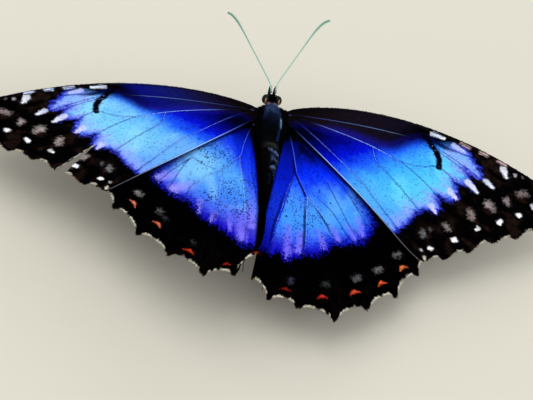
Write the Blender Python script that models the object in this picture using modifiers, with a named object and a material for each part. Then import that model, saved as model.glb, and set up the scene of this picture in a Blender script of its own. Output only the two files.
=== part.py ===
"""Blue morpho butterfly (Morpho helenor), a still, life-size model with its wings open.

It stands on its middle and hind legs on a flat surface, z = 0, with the head towards +Y.
The body is modelled level about its own centre, which BODY_PITCH and BODY_HEIGHT then raise.
"""
import math

import bmesh
import bpy
from mathutils import Matrix, Vector

MM = 0.001
SIDES = {"left": -1, "right": 1}
GAP = 0.15 * MM                        # clearance between pieces that meet

# Stance: the body's centre lies on the thorax's axis, between the wing roots.
BODY_PITCH = math.radians(12)          # head up
BODY_HEIGHT = 10.0 * MM
BODY_CENTRE = Vector((0.62 * MM, 14.29 * MM, BODY_HEIGHT))   # centres the whole model on the origin

# Wings
FOREWING_LENGTH = 66.0 * MM            # root to apex; the other wing sizes are shares of it
WING_THICKNESS = 0.55 * MM
WING_BASE_X = 3.15 * MM               # the wings begin beside the thorax
WING_BASE_Y = {"fore": 1.5 * MM, "hind": -1.5 * MM}
WING_BASE_HALF = 1.25 * MM
FOREWING_ORIGIN = {"left": Vector((3.9, 0.9, 1.9)) * MM, "right": Vector((2.7, 0.9, 1.9)) * MM}
HINDWING_OFFSET = {"left": Vector((-0.2, -2.8, 0.0)) * MM, "right": Vector((0.75, -2.7, 0.0)) * MM}
HINDWING_DROP = 1.15 * MM              # hindwing below the forewing where they overlap
FOREWING_SWEEP = math.radians(45)      # the forewing's inner margin, back from straight out
HINDWING_SWEEP = math.radians(7.5)     # the hindwing's own axis, back from straight out
DIHEDRAL = {"left": math.radians(-1), "right": math.radians(0)}
TRAILING_EDGE_UP = {"left": math.radians(20.5), "right": math.radians(5)}
HINDWING_FOLD = {"left": math.radians(1), "right": math.radians(10)}   # up, about the inner margin

# Where the veins end on the wing's edge: degrees forward of the wing's hind axis, and the
# distance from the root as a share of the forewing's length. The edge scallops between them.
FOREWING_TIPS = {"R4": (34.6, 1.000), "R5": (31.6, 0.957), "M1": (26.7, 0.885), "M2": (22.2, 0.829),
                 "M3": (17.8, 0.770), "CuA1": (11.3, 0.727), "CuA2": (4.9, 0.687), "2A": (0.0, 0.650)}
HINDWING_TIPS = {"Sc": (-12.0, 0.530), "Rs": (-20.5, 0.575), "M1": (-29.5, 0.614), "M2": (-39.2, 0.635),
                 "M3": (-50.0, 0.668), "CuA1": (-60.0, 0.686), "CuA2": (-70.0, 0.717)}
# The hind lobes: the left hindwing's are tucked under the right one's, so its last is left out.
HINDWING_HIND_TIPS = {"left": {"2A": (-77.2, 0.686), "3A": (-82.0, 0.592)},
                      "right": {"2A": (-79.8, 0.682), "3A": (-87.7, 0.677), "anal": (-93.0, 0.618)}}
# The bays between the vein ends: depth as a share of the forewing's length, breadth of the lobes
# that part them, and how far their deepest place leans forward (none at 1).
SCALLOPS = {"fore": (0.025, 0.80, 0.43), "hind": (0.027, 0.50, 0.70)}
SCALLOP_STOPS = (0.0, 0.05, 0.17, 0.42, 0.70, 0.90)   # closer together round the lobes
COSTA_BOW = 0.112                      # share of the leading edge's chord
COSTA_PROFILE = (0.78, 0.96)           # the bow rises as s**0.78 and falls as (1 - s)**0.96
FOREWING_INNER_BOW = {"left": 0.012, "right": 0.022}
FOREWING_INNER_PROFILE = {"left": (0.78, 0.96), "right": (5.0, 0.55)}
HINDWING_COSTA_BOW = 0.080
ANAL_BOW = {"left": 0.058, "right": 0.010}      # the hindwing's inner edge bulges towards the body
ANAL_PROFILE = {"left": (1.6, 0.8), "right": (1.6, 1.2)}
WING_DOME = 0.9 * MM                   # the wing's middle stands proud of its plane
DOME_SKEW = 0.8                        # below one, the dome's top is nearer the root
TIP_DROOP = 1.6 * MM
HINDWING_REACH = 0.72                  # share of the forewing's length over which the hindwing curves

# The abdominal fold: past a crest, a + b * back**2 in shares of the forewing's length, the
# hindwing's inner edge turns down beside the abdomen.
FOLD_CREST = {"left": (0.010, 0.19), "right": (-0.008, -0.09)}
FOLD_WIDTH = 1.8 * MM
FOLD_DEPTH = {"left": 3.0 * MM, "right": 1.4 * MM}
FOLD_EASE = 0.5                        # how gently the fold starts

STEPS_ALONG_VEIN = 7

# The slit in the left forewing, between CuA1 and CuA2, as shares of the forewing's length
SLIT_TIP = (0.531, 0.174)
SLIT_MOUTH = (0.690, 0.150)
SLIT_MOUTH_WIDTH = 1.9 * MM
SLIT_RUN_OUT = 6 * MM                  # the cut runs on past the wing's edge, widening
SLIT_WIDENING = 1.6
SLIT_HALF_DEPTH = 4 * MM

# Flesh: each station is (y, centre z, half-width, rise above the centre, drop below it), in mm.
HEAD_STATIONS = (
    (7.35, 0.05, 0.55, 0.55, 0.65), (7.05, 0.10, 0.95, 0.95, 1.15), (6.5, 0.15, 1.25, 1.20, 1.45),
    (6.0, 0.15, 1.35, 1.25, 1.40), (5.6, 0.10, 1.30, 1.10, 1.20), (5.35, 0.05, 1.05, 0.85, 0.90))
THORAX_STATIONS = (
    (4.8, 0.05, 1.25, 0.95, 0.90), (4.5, 0.05, 1.70, 1.35, 1.25), (4.1, 0.05, 2.00, 1.65, 1.50),
    (3.3, 0.05, 2.40, 2.15, 2.15), (2.2, 0.05, 2.75, 2.75, 2.80), (0.7, 0.05, 2.95, 3.05, 3.20),
    (-0.8, 0.00, 2.95, 3.00, 3.25), (-2.2, -0.10, 2.80, 2.65, 2.95), (-3.3, -0.20, 2.55, 2.25, 2.55),
    (-4.0, -0.28, 2.20, 1.95, 2.15), (-4.35, -0.32, 1.75, 1.50, 1.70))
ABDOMEN_STATIONS = (
    (-4.9, -0.34, 1.75, 1.50, 1.75), (-5.3, -0.38, 2.25, 1.95, 2.20), (-6.5, -0.43, 2.50, 2.20, 2.45),
    (-9.0, -0.57, 2.48, 2.20, 2.45), (-11.5, -0.76, 2.28, 2.02, 2.25), (-14.2, -1.06, 1.92, 1.70, 1.88),
    (-16.8, -1.45, 1.45, 1.30, 1.40), (-18.8, -1.80, 1.00, 0.95, 0.95), (-20.1, -2.05, 0.55, 0.50, 0.50))
END_CAP = 0.20                         # how far a rounded end reaches past its last station, in mm
BODY_SIDES = 16

EYE_CENTRE = Vector((1.22, 6.25, 0.15)) * MM
EYE_RADII = Vector((0.95, 1.02, 1.25)) * MM

# Thin pieces, as (x, y, z, radius) in mm on the right side, level with the body
PALP_PATH = ((0.50, 7.55, -1.15, 0.33), (0.50, 8.05, -0.90, 0.40), (0.52, 8.50, -0.30, 0.42),
             (0.55, 8.75, 0.45, 0.36), (0.58, 8.90, 1.15, 0.26))
ANTENNA_ROOT = Vector((0.50, 7.30, 1.45)) * MM
ANTENNA_LENGTH = 19.8 * MM
ANTENNA_SPREAD = {"left": math.radians(41.5), "right": math.radians(31)}   # out from straight ahead
ANTENNA_TOE_IN = math.radians(38)      # the root points this much further ahead
TOE_IN_SHARE = 0.15                    # of the length, over which the toe-in fades
ANTENNA_RAISE = math.radians(26)       # up from the body's own level
ANTENNA_CURL = math.radians(58)        # the tip turns this much further out
CURL_EXPONENT = 12                     # a high one keeps the curl to the tip
ANTENNA_RADIUS = 0.26 * MM
CLUB_RADIUS = 0.40 * MM
CLUB_START = 0.72                      # share of the length
CLUB_TAPER = 0.72                      # of a half wave, so that the tip stays blunt
ANTENNA_STEPS = 15
PROBOSCIS_RADIUS = 0.27 * MM
PROBOSCIS_COIL = (1.15 * MM, 0.42 * MM, 1.6)   # outer radius, inner radius, turns
PROBOSCIS_CENTRE = Vector((0.0, 6.55, -2.75)) * MM
PROBOSCIS_START = math.radians(80)     # where the coil meets the head, up from straight ahead
PROBOSCIS_STEPS = 20
FORELEG_PATH = ((1.00, 3.90, -1.95, 0.34), (1.15, 4.90, -2.15, 0.33), (1.20, 5.75, -2.30, 0.30),
                (1.20, 6.05, -2.75, 0.27), (1.15, 5.60, -3.15, 0.27), (1.05, 4.60, -3.25, 0.26))
# Walking legs on the right side, in mm: the hip level with the body; the knee, ankle, ball and
# toe from the point on the standing surface below the body's centre.
LEG_HIPS = {"midleg": (1.60, 0.90, -3.15), "hindleg": (1.60, -1.90, -3.05)}
LEG_JOINTS = {"midleg": ((7.2, 4.2, 8.0), (10.6, 7.4, 1.7), (11.6, 8.5, 0.30), (13.6, 11.0, 0.26)),
              "hindleg": ((6.2, -9.6, 7.4), (8.7, -16.2, 1.6), (9.2, -17.4, 0.30), (10.4, -20.4, 0.26))}
LEG_RADII = (0.50, 0.42, 0.34, 0.30, 0.27)     # at the hip, knee, ankle, ball and toe, in mm
LEG_STEPS = 4


def material(name, colour, roughness, metallic=0.0):
    made = bpy.data.materials.get(name) or bpy.data.materials.new(name)
    made.use_nodes = True
    shader = made.node_tree.nodes["Principled BSDF"]
    shader.inputs["Base Color"].default_value = (*colour, 1.0)
    shader.inputs["Roughness"].default_value = roughness
    shader.inputs["Metallic"].default_value = metallic
    return made


def mesh_object(name, verts, faces, collection, made, parent=None):
    mesh = bpy.data.meshes.new(name)
    mesh.from_pydata([tuple(v) for v in verts], [], faces)
    mesh.materials.append(made)
    mesh.shade_smooth()
    obj = bpy.data.objects.new(name, mesh)
    collection.objects.link(obj)
    obj.parent = parent
    return obj


# ---------------------------------------------------------------- wings

def polar(angle_deg, radius):
    angle = math.radians(angle_deg)
    return Vector((math.cos(angle), math.sin(angle))) * radius


def unsweep(across, along, sweep):
    """A direction given across and along the body, in the plane of a wing swept by sweep."""
    return Vector((across * math.cos(sweep) - along * math.sin(sweep),
                   across * math.sin(sweep) + along * math.cos(sweep)))


def scalloped_edge(tips, scallop):
    """The wing's outer edge, a shallow bay between each two vein ends, as (share of the way round, point)."""
    depth, lobe, lean = scallop
    ends = [polar(*tip) * FOREWING_LENGTH for tip in tips.values()]
    bays = len(ends) - 1
    points = []
    for number, (a, b) in enumerate(zip(ends, ends[1:])):
        for t in SCALLOP_STOPS:
            point = a.lerp(b, t)
            bay = depth * FOREWING_LENGTH * (1 - math.exp(-(math.sin(math.pi * t ** lean) / lobe) ** 2))
            points.append(((number + t) / bays, point - point.normalized() * bay))
    return points + [(1.0, ends[-1])]


def bow_profile(s, exponents):
    """Zero at both ends and one at its peak, which lies nearer the end with the smaller exponent."""
    rise, fall = exponents
    peak = rise / (rise + fall)
    return (s ** rise * (1 - s) ** fall) / (peak ** rise * (1 - peak) ** fall)


def camber(point, reach):
    r = min(point.length / reach, 1.0)
    return WING_DOME * math.sin(math.pi * r ** DOME_SKEW) - TIP_DROOP * r ** 3 * (reach / FOREWING_LENGTH)


def fold_drop(point, side):
    """How far the abdominal fold turns down at a place on the hindwing."""
    start, spread = FOLD_CREST[side]
    back = point.y / FOREWING_LENGTH
    past = ((start + spread * back ** 2) * FOREWING_LENGTH - point.x) / FOLD_WIDTH
    past = max(past, 0.0)
    return FOLD_DEPTH[side] * past ** 2 / (past + FOLD_EASE)


def wing_plane(side, hindwing):
    """The matrix from a wing's flat plane to the body's, on the right side."""
    tilt = (Matrix.Rotation(-DIHEDRAL[side], 4, "Y") @ Matrix.Rotation(-TRAILING_EDGE_UP[side], 4, "X"))
    place = Matrix.Translation(FOREWING_ORIGIN[side]) @ tilt
    if not hindwing:
        return place @ Matrix.Rotation(-FOREWING_SWEEP, 4, "Z")
    hinge = Vector((math.cos(FOREWING_SWEEP), -math.sin(FOREWING_SWEEP), 0))
    return (place @ Matrix.Translation((0, 0, -HINDWING_DROP))
            @ Matrix.Rotation(-HINDWING_FOLD[side], 4, hinge)
            @ Matrix.Translation(HINDWING_OFFSET[side]) @ Matrix.Rotation(-HINDWING_SWEEP, 4, "Z"))


def wing(name, side, collection, made, parent):
    """A grid of rays from the wing's root to its scalloped edge, thickened into a closed sheet."""
    hindwing = name.startswith("hind")
    if hindwing:
        tips = {**HINDWING_TIPS, **HINDWING_HIND_TIPS[side]}
        origin = FOREWING_ORIGIN[side] + HINDWING_OFFSET[side]
        sweep, base_y = HINDWING_SWEEP, WING_BASE_Y["hind"]
        front_bow, back_bow = HINDWING_COSTA_BOW, -ANAL_BOW[side]
        reach, back_profile = HINDWING_REACH * FOREWING_LENGTH, ANAL_PROFILE[side]
    else:
        tips, origin = FOREWING_TIPS, FOREWING_ORIGIN[side]
        sweep, base_y = FOREWING_SWEEP, WING_BASE_Y["fore"]
        front_bow, back_bow = COSTA_BOW, -FOREWING_INNER_BOW[side]
        reach, back_profile = FOREWING_LENGTH, FOREWING_INNER_PROFILE[side]
    edge = scalloped_edge(tips, SCALLOPS["hind" if hindwing else "fore"])
    front, back = (unsweep(WING_BASE_X - origin.x, base_y + sign * WING_BASE_HALF - origin.y, sweep)
                   for sign in (1, -1))
    verts = []
    for share, end in edge:
        start = front.lerp(back, share)
        chord = end - start
        across = Vector((-chord.y, chord.x))
        for j in range(STEPS_ALONG_VEIN + 1):
            s = j / STEPS_ALONG_VEIN
            bow = (front_bow * (1 - share) ** 2 * bow_profile(s, COSTA_PROFILE)
                   + back_bow * share ** 3 * bow_profile(s, back_profile))
            point = start + chord * s + across * bow
            height = camber(point, reach) - (fold_drop(point, side) if hindwing else 0.0)
            verts.append((point.x, point.y, height))
    row = STEPS_ALONG_VEIN + 1
    faces = [(i * row + j, (i + 1) * row + j, (i + 1) * row + j + 1, i * row + j + 1)
             for i in range(len(edge) - 1) for j in range(STEPS_ALONG_VEIN)]
    mirror = Matrix.Scale(SIDES[side], 4, (1, 0, 0))
    place = mirror @ wing_plane(side, hindwing)
    if place.determinant() > 0:
        faces = [face[::-1] for face in faces]
    obj = mesh_object(name, [place @ Vector(v) for v in verts], faces, collection, made, parent)
    sheet = obj.modifiers.new("thickness", "SOLIDIFY")
    sheet.thickness = WING_THICKNESS
    sheet.offset = 0.0
    return obj


def cut_slit(forewing, cutters, parent):
    """A narrow tear that opens at the edge of the left forewing."""
    tip, mouth = Vector(SLIT_TIP) * FOREWING_LENGTH, Vector(SLIT_MOUTH) * FOREWING_LENGTH
    along = (mouth - tip).normalized()
    across = Vector((-along.y, along.x))
    far = mouth + along * SLIT_RUN_OUT
    half = across * SLIT_MOUTH_WIDTH / 2
    corners = (tip, mouth - half, far - half * SLIT_WIDENING, far + half * SLIT_WIDENING, mouth + half)
    place = Matrix.Scale(SIDES["left"], 4, (1, 0, 0)) @ wing_plane("left", False)
    verts = [place @ Vector((c.x, c.y, z)) for z in (-SLIT_HALF_DEPTH, SLIT_HALF_DEPTH) for c in corners]
    count = len(corners)
    faces = [tuple(range(count)), tuple(range(2 * count - 1, count - 1, -1))]
    faces += [(k, k + count, (k + 1) % count + count, (k + 1) % count) for k in range(count)]
    cutter = mesh_object("slit_cutter", verts, faces, cutters, forewing.data.materials[0], parent)
    cutter.hide_render = True
    cutter.display_type = "WIRE"
    slit = forewing.modifiers.new("slit", "BOOLEAN")
    slit.object = cutter


# ---------------------------------------------------------------- body

def loft(name, stations, collection, made, parent):
    """A closed rounded body through elliptic rings that run from front to back."""
    verts, faces = [], []
    for y, centre_z, half_width, rise, drop in stations:
        for k in range(BODY_SIDES):
            angle = 2 * math.pi * k / BODY_SIDES
            height = rise if math.sin(angle) > 0 else drop
            place = Vector((half_width * math.cos(angle), y, centre_z + height * math.sin(angle)))
            verts.append(place * MM)
    rings = len(stations)
    for r in range(rings - 1):
        for k in range(BODY_SIDES):
            a, b = r * BODY_SIDES + k, r * BODY_SIDES + (k + 1) % BODY_SIDES
            faces.append((a, b, b + BODY_SIDES, a + BODY_SIDES))
    first, last = stations[0], stations[-1]
    verts.append(Vector((0, first[0] + END_CAP, first[1])) * MM)
    verts.append(Vector((0, last[0] - END_CAP, last[1])) * MM)
    front_pole, back_pole, base = len(verts) - 2, len(verts) - 1, (rings - 1) * BODY_SIDES
    for k in range(BODY_SIDES):
        following = (k + 1) % BODY_SIDES
        faces.append((front_pole, following, k))
        faces.append((back_pole, base + k, base + following))
    return mesh_object(name, verts, faces, collection, made, parent)


def ellipsoid(name, centre, radii, collection, made, parent):
    bpy.ops.mesh.primitive_uv_sphere_add(segments=16, ring_count=10, radius=1.0)
    obj = bpy.context.active_object
    obj.name = name
    obj.data.name = name
    for owner in list(obj.users_collection):
        owner.objects.unlink(obj)
    collection.objects.link(obj)
    obj.data.transform(Matrix.Translation(centre) @ Matrix.Diagonal((*radii, 1)))
    obj.data.materials.append(made)
    obj.data.shade_smooth()
    obj.parent = parent
    return obj


def eyes(head, collection, cutters, made, parent):
    """Each eye sits in a socket cut into the head."""
    for side, sign in SIDES.items():
        centre = Vector((sign * EYE_CENTRE.x, EYE_CENTRE.y, EYE_CENTRE.z))
        ellipsoid("eye_" + side, centre, EYE_RADII, collection, made, parent)
        socket_radii = EYE_RADII + Vector((GAP, GAP, GAP))
        socket = ellipsoid("socket_" + side, centre, socket_radii, cutters, made, parent)
        socket.hide_render = True
        socket.display_type = "WIRE"
        cut = head.modifiers.new("socket_" + side, "BOOLEAN")
        cut.object = socket


# ---------------------------------------------------------------- thin pieces

def tube(name, path, collection, made, parent=None, flat_feet=False):
    """A round piece of changing thickness along path, a list of (point, radius)."""
    curve = bpy.data.curves.new(name, "CURVE")
    curve.dimensions = "3D"
    curve.bevel_depth = 1.0
    curve.bevel_resolution = 1
    curve.use_fill_caps = True
    spline = curve.splines.new("POLY")
    spline.points.add(len(path) - 1)
    for spline_point, (point, radius) in zip(spline.points, path):
        spline_point.co = (*point, 1.0)
        spline_point.radius = radius
    source = bpy.data.objects.new(name + "_curve", curve)
    collection.objects.link(source)
    evaluated = source.evaluated_get(bpy.context.evaluated_depsgraph_get())
    mesh = bpy.data.meshes.new_from_object(evaluated)
    mesh.transform(source.matrix_world)
    bpy.data.objects.remove(source)
    build = bmesh.new()
    build.from_mesh(mesh)
    bmesh.ops.remove_doubles(build, verts=build.verts, dist=0.001 * MM)
    if flat_feet:
        for vert in build.verts:
            vert.co.z = max(vert.co.z, 0.0)
    build.to_mesh(mesh)
    build.free()
    mesh.name = name
    mesh.materials.clear()
    mesh.materials.append(made)
    mesh.shade_smooth()
    obj = bpy.data.objects.new(name, mesh)
    collection.objects.link(obj)
    obj.parent = parent
    return obj


def smooth_path(corners, steps):
    """A Catmull-Rom curve through corners, a list of (point, radius)."""
    points = []
    last = len(corners) - 1
    for i in range(last):
        around = [corners[max(0, min(last, i + k))] for k in (-1, 0, 1, 2)]
        p0, p1, p2, p3 = (Vector(point) for point, _ in around)
        for k in range(steps):
            t = k / steps
            point = 0.5 * (2 * p1 + (p2 - p0) * t + (2 * p0 - 5 * p1 + 4 * p2 - p3) * t ** 2
                           + (3 * p1 - p0 - 3 * p2 + p3) * t ** 3)
            points.append((point, around[1][1] * (1 - t) + around[2][1] * t))
    return points + [corners[-1]]


def mirrored(path, sign):
    return [(Vector((sign * x, y, z)) * MM, radius * MM) for x, y, z, radius in path]


def antenna_path(side, sign):
    point = Vector((sign * ANTENNA_ROOT.x, ANTENNA_ROOT.y, ANTENNA_ROOT.z))
    path = []
    for k in range(ANTENNA_STEPS + 1):
        t = k / ANTENNA_STEPS
        swell = max(0.0, (t - CLUB_START) / (1 - CLUB_START))
        radius = ANTENNA_RADIUS + (CLUB_RADIUS - ANTENNA_RADIUS) * math.sin(math.pi * swell * CLUB_TAPER)
        path.append((point.copy(), radius))
        toe_in = ANTENNA_TOE_IN * max(0.0, 1 - t / TOE_IN_SHARE)
        spread = ANTENNA_SPREAD[side] - toe_in + ANTENNA_CURL * t ** CURL_EXPONENT
        heading = Vector((sign * math.sin(spread) * math.cos(ANTENNA_RAISE),
                          math.cos(spread) * math.cos(ANTENNA_RAISE), math.sin(ANTENNA_RAISE)))
        point = point + heading * ANTENNA_LENGTH / ANTENNA_STEPS
    return path


def proboscis_path():
    outer, inner, turns = PROBOSCIS_COIL
    path = []
    for k in range(PROBOSCIS_STEPS + 1):
        t = k / PROBOSCIS_STEPS
        angle = PROBOSCIS_START - 2 * math.pi * turns * t
        radius = outer + (inner - outer) * t
        point = PROBOSCIS_CENTRE + Vector((0, math.cos(angle), math.sin(angle))) * radius
        path.append((point, PROBOSCIS_RADIUS))
    return path


def leg_path(name, sign, body_place):
    x, y, z = LEG_HIPS[name]
    hip = body_place @ (Vector((sign * x, y, z)) * MM)
    below_body = Vector((BODY_CENTRE.x, BODY_CENTRE.y, 0))
    joints = [hip] + [below_body + Vector((sign * x, y, z)) * MM for x, y, z in LEG_JOINTS[name]]
    return smooth_path([(joint, radius * MM) for joint, radius in zip(joints, LEG_RADII)], LEG_STEPS)


def build():
    for obj in list(bpy.data.objects):
        bpy.data.objects.remove(obj, do_unlink=True)
    collection = bpy.data.collections.new("blue_morpho")
    cutters = bpy.data.collections.new("cutters")
    for made_collection in (collection, cutters):
        bpy.context.scene.collection.children.link(made_collection)
    blue = material("wing_blue", (0.02, 0.16, 0.80), 0.35, 0.4)
    dark = material("body_dark", (0.02, 0.02, 0.03), 0.7)
    eye_brown = material("eye_brown", (0.10, 0.04, 0.02), 0.15)
    leg_brown = material("leg_brown", (0.06, 0.035, 0.02), 0.6)
    feeler = material("antenna_brown", (0.20, 0.16, 0.10), 0.5)

    body = bpy.data.objects.new("body_frame", None)
    collection.objects.link(body)
    body.location = BODY_CENTRE
    body.rotation_euler = (BODY_PITCH, 0, 0)
    bpy.context.view_layer.update()
    body_place = body.matrix_world.copy()

    head = loft("head", HEAD_STATIONS, collection, dark, body)
    eyes(head, collection, cutters, eye_brown, body)
    loft("thorax", THORAX_STATIONS, collection, dark, body)
    loft("abdomen", ABDOMEN_STATIONS, collection, dark, body)
    tube("proboscis", proboscis_path(), collection, feeler, body)
    for side, sign in SIDES.items():
        forewing = wing("forewing_" + side, side, collection, blue, body)
        if side == "left":
            cut_slit(forewing, cutters, body)
        wing("hindwing_" + side, side, collection, blue, body)
        tube("antenna_" + side, antenna_path(side, sign), collection, feeler, body)
        tube("palp_" + side, mirrored(PALP_PATH, sign), collection, dark, body)
        tube("foreleg_" + side, smooth_path(mirrored(FORELEG_PATH, sign), 2), collection, leg_brown, body)
        for leg in LEG_HIPS:
            tube(leg + "_" + side, leg_path(leg, sign, body_place), collection, leg_brown, None, True)


build()
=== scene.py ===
"""The looks of a blue morpho butterfly, a still, life-size model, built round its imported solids.

Wing pieces are made in each wing's own plane (x outward, y forward, z up) and then placed.
Markings are given there too, as shares of the forewing's length.
"""
import math

import bmesh
import bpy
import numpy as np
from mathutils import Matrix, Vector


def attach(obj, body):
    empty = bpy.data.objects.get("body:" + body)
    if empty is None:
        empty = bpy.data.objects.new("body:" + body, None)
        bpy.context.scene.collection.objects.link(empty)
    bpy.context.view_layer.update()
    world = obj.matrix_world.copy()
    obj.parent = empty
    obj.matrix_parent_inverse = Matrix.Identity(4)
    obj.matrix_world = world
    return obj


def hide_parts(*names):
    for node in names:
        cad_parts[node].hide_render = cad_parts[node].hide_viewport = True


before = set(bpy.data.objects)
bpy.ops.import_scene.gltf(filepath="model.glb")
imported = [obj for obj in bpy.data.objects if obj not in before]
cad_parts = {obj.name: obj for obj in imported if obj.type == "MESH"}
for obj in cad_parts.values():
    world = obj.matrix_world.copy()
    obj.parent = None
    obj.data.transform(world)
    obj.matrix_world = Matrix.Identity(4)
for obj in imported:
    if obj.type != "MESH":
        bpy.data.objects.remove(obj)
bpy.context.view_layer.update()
rng = np.random.default_rng(11)

MM = 0.001
SIDES = {"left": -1, "right": 1}

# ---------------------------------------------------------------- the solids' own sizes
BODY_PITCH = math.radians(12)
BODY_CENTRE = Vector((0.62, 14.29, 10.0)) * MM
LENGTH = 66.0 * MM                     # forewing, root to apex
WING_BASE_X = 3.15 * MM
WING_BASE_Y = {"fore": 1.5 * MM, "hind": -1.5 * MM}
WING_BASE_HALF = 1.25 * MM
FOREWING_ORIGIN = {"left": Vector((3.9, 0.9, 1.9)) * MM, "right": Vector((2.7, 0.9, 1.9)) * MM}
HINDWING_OFFSET = {"left": Vector((-0.2, -2.8, 0.0)) * MM, "right": Vector((0.75, -2.7, 0.0)) * MM}
HINDWING_DROP = 1.15 * MM
FOREWING_SWEEP = math.radians(45)
HINDWING_SWEEP = math.radians(7.5)
DIHEDRAL = {"left": math.radians(-1), "right": math.radians(0)}
TRAILING_EDGE_UP = {"left": math.radians(20.5), "right": math.radians(5)}
HINDWING_FOLD = {"left": math.radians(1), "right": math.radians(10)}
FOREWING_TIPS = {"R4": (34.6, 1.000), "R5": (31.6, 0.957), "M1": (26.7, 0.885), "M2": (22.2, 0.829),
                 "M3": (17.8, 0.770), "CuA1": (11.3, 0.727), "CuA2": (4.9, 0.687), "2A": (0.0, 0.650)}
HINDWING_TIPS = {"Sc": (-12.0, 0.530), "Rs": (-20.5, 0.575), "M1": (-29.5, 0.614), "M2": (-39.2, 0.635),
                 "M3": (-50.0, 0.668), "CuA1": (-60.0, 0.686), "CuA2": (-70.0, 0.717)}
HINDWING_HIND_TIPS = {"left": {"2A": (-77.2, 0.686), "3A": (-82.0, 0.592)},
                      "right": {"2A": (-79.8, 0.682), "3A": (-87.7, 0.677), "anal": (-93.0, 0.618)}}
SCALLOPS = {False: (0.025, 0.80, 0.43), True: (0.027, 0.50, 0.70)}   # depth, breadth of the lobes, lean
COSTA_BOW = 0.112
COSTA_PROFILE = (0.78, 0.96)
FOREWING_INNER_BOW = {"left": 0.012, "right": 0.022}
FOREWING_INNER_PROFILE = {"left": (0.78, 0.96), "right": (5.0, 0.55)}
HINDWING_COSTA_BOW = 0.080
ANAL_BOW = {"left": 0.058, "right": 0.010}
ANAL_PROFILE = {"left": (1.6, 0.8), "right": (1.6, 1.2)}
WING_DOME = 0.9 * MM
DOME_SKEW = 0.8
TIP_DROOP = 1.6 * MM
HINDWING_REACH = 0.72
FOLD_CREST = {"left": (0.010, 0.19), "right": (-0.008, -0.09)}
FOLD_WIDTH = 1.8 * MM
FOLD_DEPTH = {"left": 3.0 * MM, "right": 1.4 * MM}
FOLD_EASE = 0.5
FOLD_EDGE = {"left": 0.010, "right": -0.004}   # where the black of the fold ends, past its crest
SLIT_TIP = (0.531, 0.174)
SLIT_MOUTH = (0.690, 0.150)
SLIT_MOUTH_WIDTH = 1.9 * MM
SLIT_RUN_OUT = 6 * MM
SLIT_WIDENING = 1.6
SLIT_HALF_DEPTH = 4 * MM

# Flesh: (y, centre z, half-width, rise above the centre, drop below it), in mm, level with the body
BODY_STATIONS = (
    (7.55, 0.05, 0.02, 0.02, 0.02), (7.50, 0.05, 0.30, 0.30, 0.36), (7.35, 0.05, 0.55, 0.55, 0.65),
    (7.05, 0.10, 0.95, 0.95, 1.15), (6.5, 0.15, 1.25, 1.20, 1.45), (6.0, 0.15, 1.35, 1.25, 1.40),
    (5.6, 0.10, 1.30, 1.10, 1.20), (5.35, 0.05, 1.20, 0.95, 1.00), (5.05, 0.05, 1.25, 0.95, 0.95),
    (4.8, 0.05, 1.45, 1.10, 1.05), (4.5, 0.05, 1.72, 1.36, 1.26), (4.1, 0.05, 2.00, 1.65, 1.50),
    (3.3, 0.05, 2.40, 2.15, 2.15), (2.2, 0.05, 2.75, 2.75, 2.80), (0.7, 0.05, 2.95, 3.05, 3.20),
    (-0.8, 0.00, 2.95, 3.00, 3.25), (-2.2, -0.10, 2.82, 2.65, 2.95), (-3.3, -0.20, 2.64, 2.30, 2.60),
    (-4.0, -0.28, 2.54, 2.14, 2.42), (-4.6, -0.33, 2.48, 2.08, 2.32), (-5.3, -0.38, 2.48, 2.10, 2.35),
    (-6.5, -0.43, 2.50, 2.20, 2.45), (-9.0, -0.57, 2.48, 2.20, 2.45), (-11.5, -0.76, 2.28, 2.02, 2.25),
    (-14.2, -1.06, 1.92, 1.70, 1.88), (-16.8, -1.45, 1.45, 1.30, 1.40), (-18.8, -1.80, 1.00, 0.95, 0.95),
    (-20.1, -2.05, 0.55, 0.50, 0.50), (-20.25, -2.05, 0.30, 0.28, 0.28), (-20.3, -2.05, 0.02, 0.02, 0.02))
EYE_CENTRE = Vector((1.22, 6.25, 0.15)) * MM
EYE_RADII = Vector((0.95, 1.02, 1.25)) * MM
PALP_PATH = ((0.50, 7.55, -1.15, 0.33), (0.50, 8.05, -0.90, 0.40), (0.52, 8.50, -0.30, 0.42),
             (0.55, 8.75, 0.45, 0.36), (0.58, 8.90, 1.15, 0.26))
ANTENNA_ROOT = Vector((0.50, 7.30, 1.45)) * MM
ANTENNA_LENGTH = 19.8 * MM
ANTENNA_SPREAD = {"left": math.radians(41.5), "right": math.radians(31)}
ANTENNA_TOE_IN = math.radians(38)
TOE_IN_SHARE = 0.15
ANTENNA_RAISE = math.radians(26)
ANTENNA_CURL = math.radians(58)
CURL_EXPONENT = 12
CLUB_START = 0.72
CLUB_TAPER = 0.72
PROBOSCIS_RADIUS = 0.27 * MM
PROBOSCIS_COIL = (1.15 * MM, 0.42 * MM, 1.6)
PROBOSCIS_CENTRE = Vector((0.0, 6.55, -2.75)) * MM
PROBOSCIS_START = math.radians(80)
FORELEG_PATH = ((1.00, 3.90, -1.95, 0.34), (1.15, 4.90, -2.15, 0.33), (1.20, 5.75, -2.30, 0.30),
                (1.20, 6.05, -2.75, 0.27), (1.15, 5.60, -3.15, 0.27), (1.05, 4.60, -3.25, 0.26))
LEG_HIPS = {"midleg": (1.60, 0.90, -3.15), "hindleg": (1.60, -1.90, -3.05)}
LEG_JOINTS = {"midleg": ((7.2, 4.2, 8.0), (10.6, 7.4, 1.7), (11.6, 8.5, 0.30), (13.6, 11.0, 0.26)),
              "hindleg": ((6.2, -9.6, 7.4), (8.7, -16.2, 1.6), (9.2, -17.4, 0.30), (10.4, -20.4, 0.26))}
LEG_RADII = (0.50, 0.42, 0.34, 0.30, 0.27)

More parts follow.
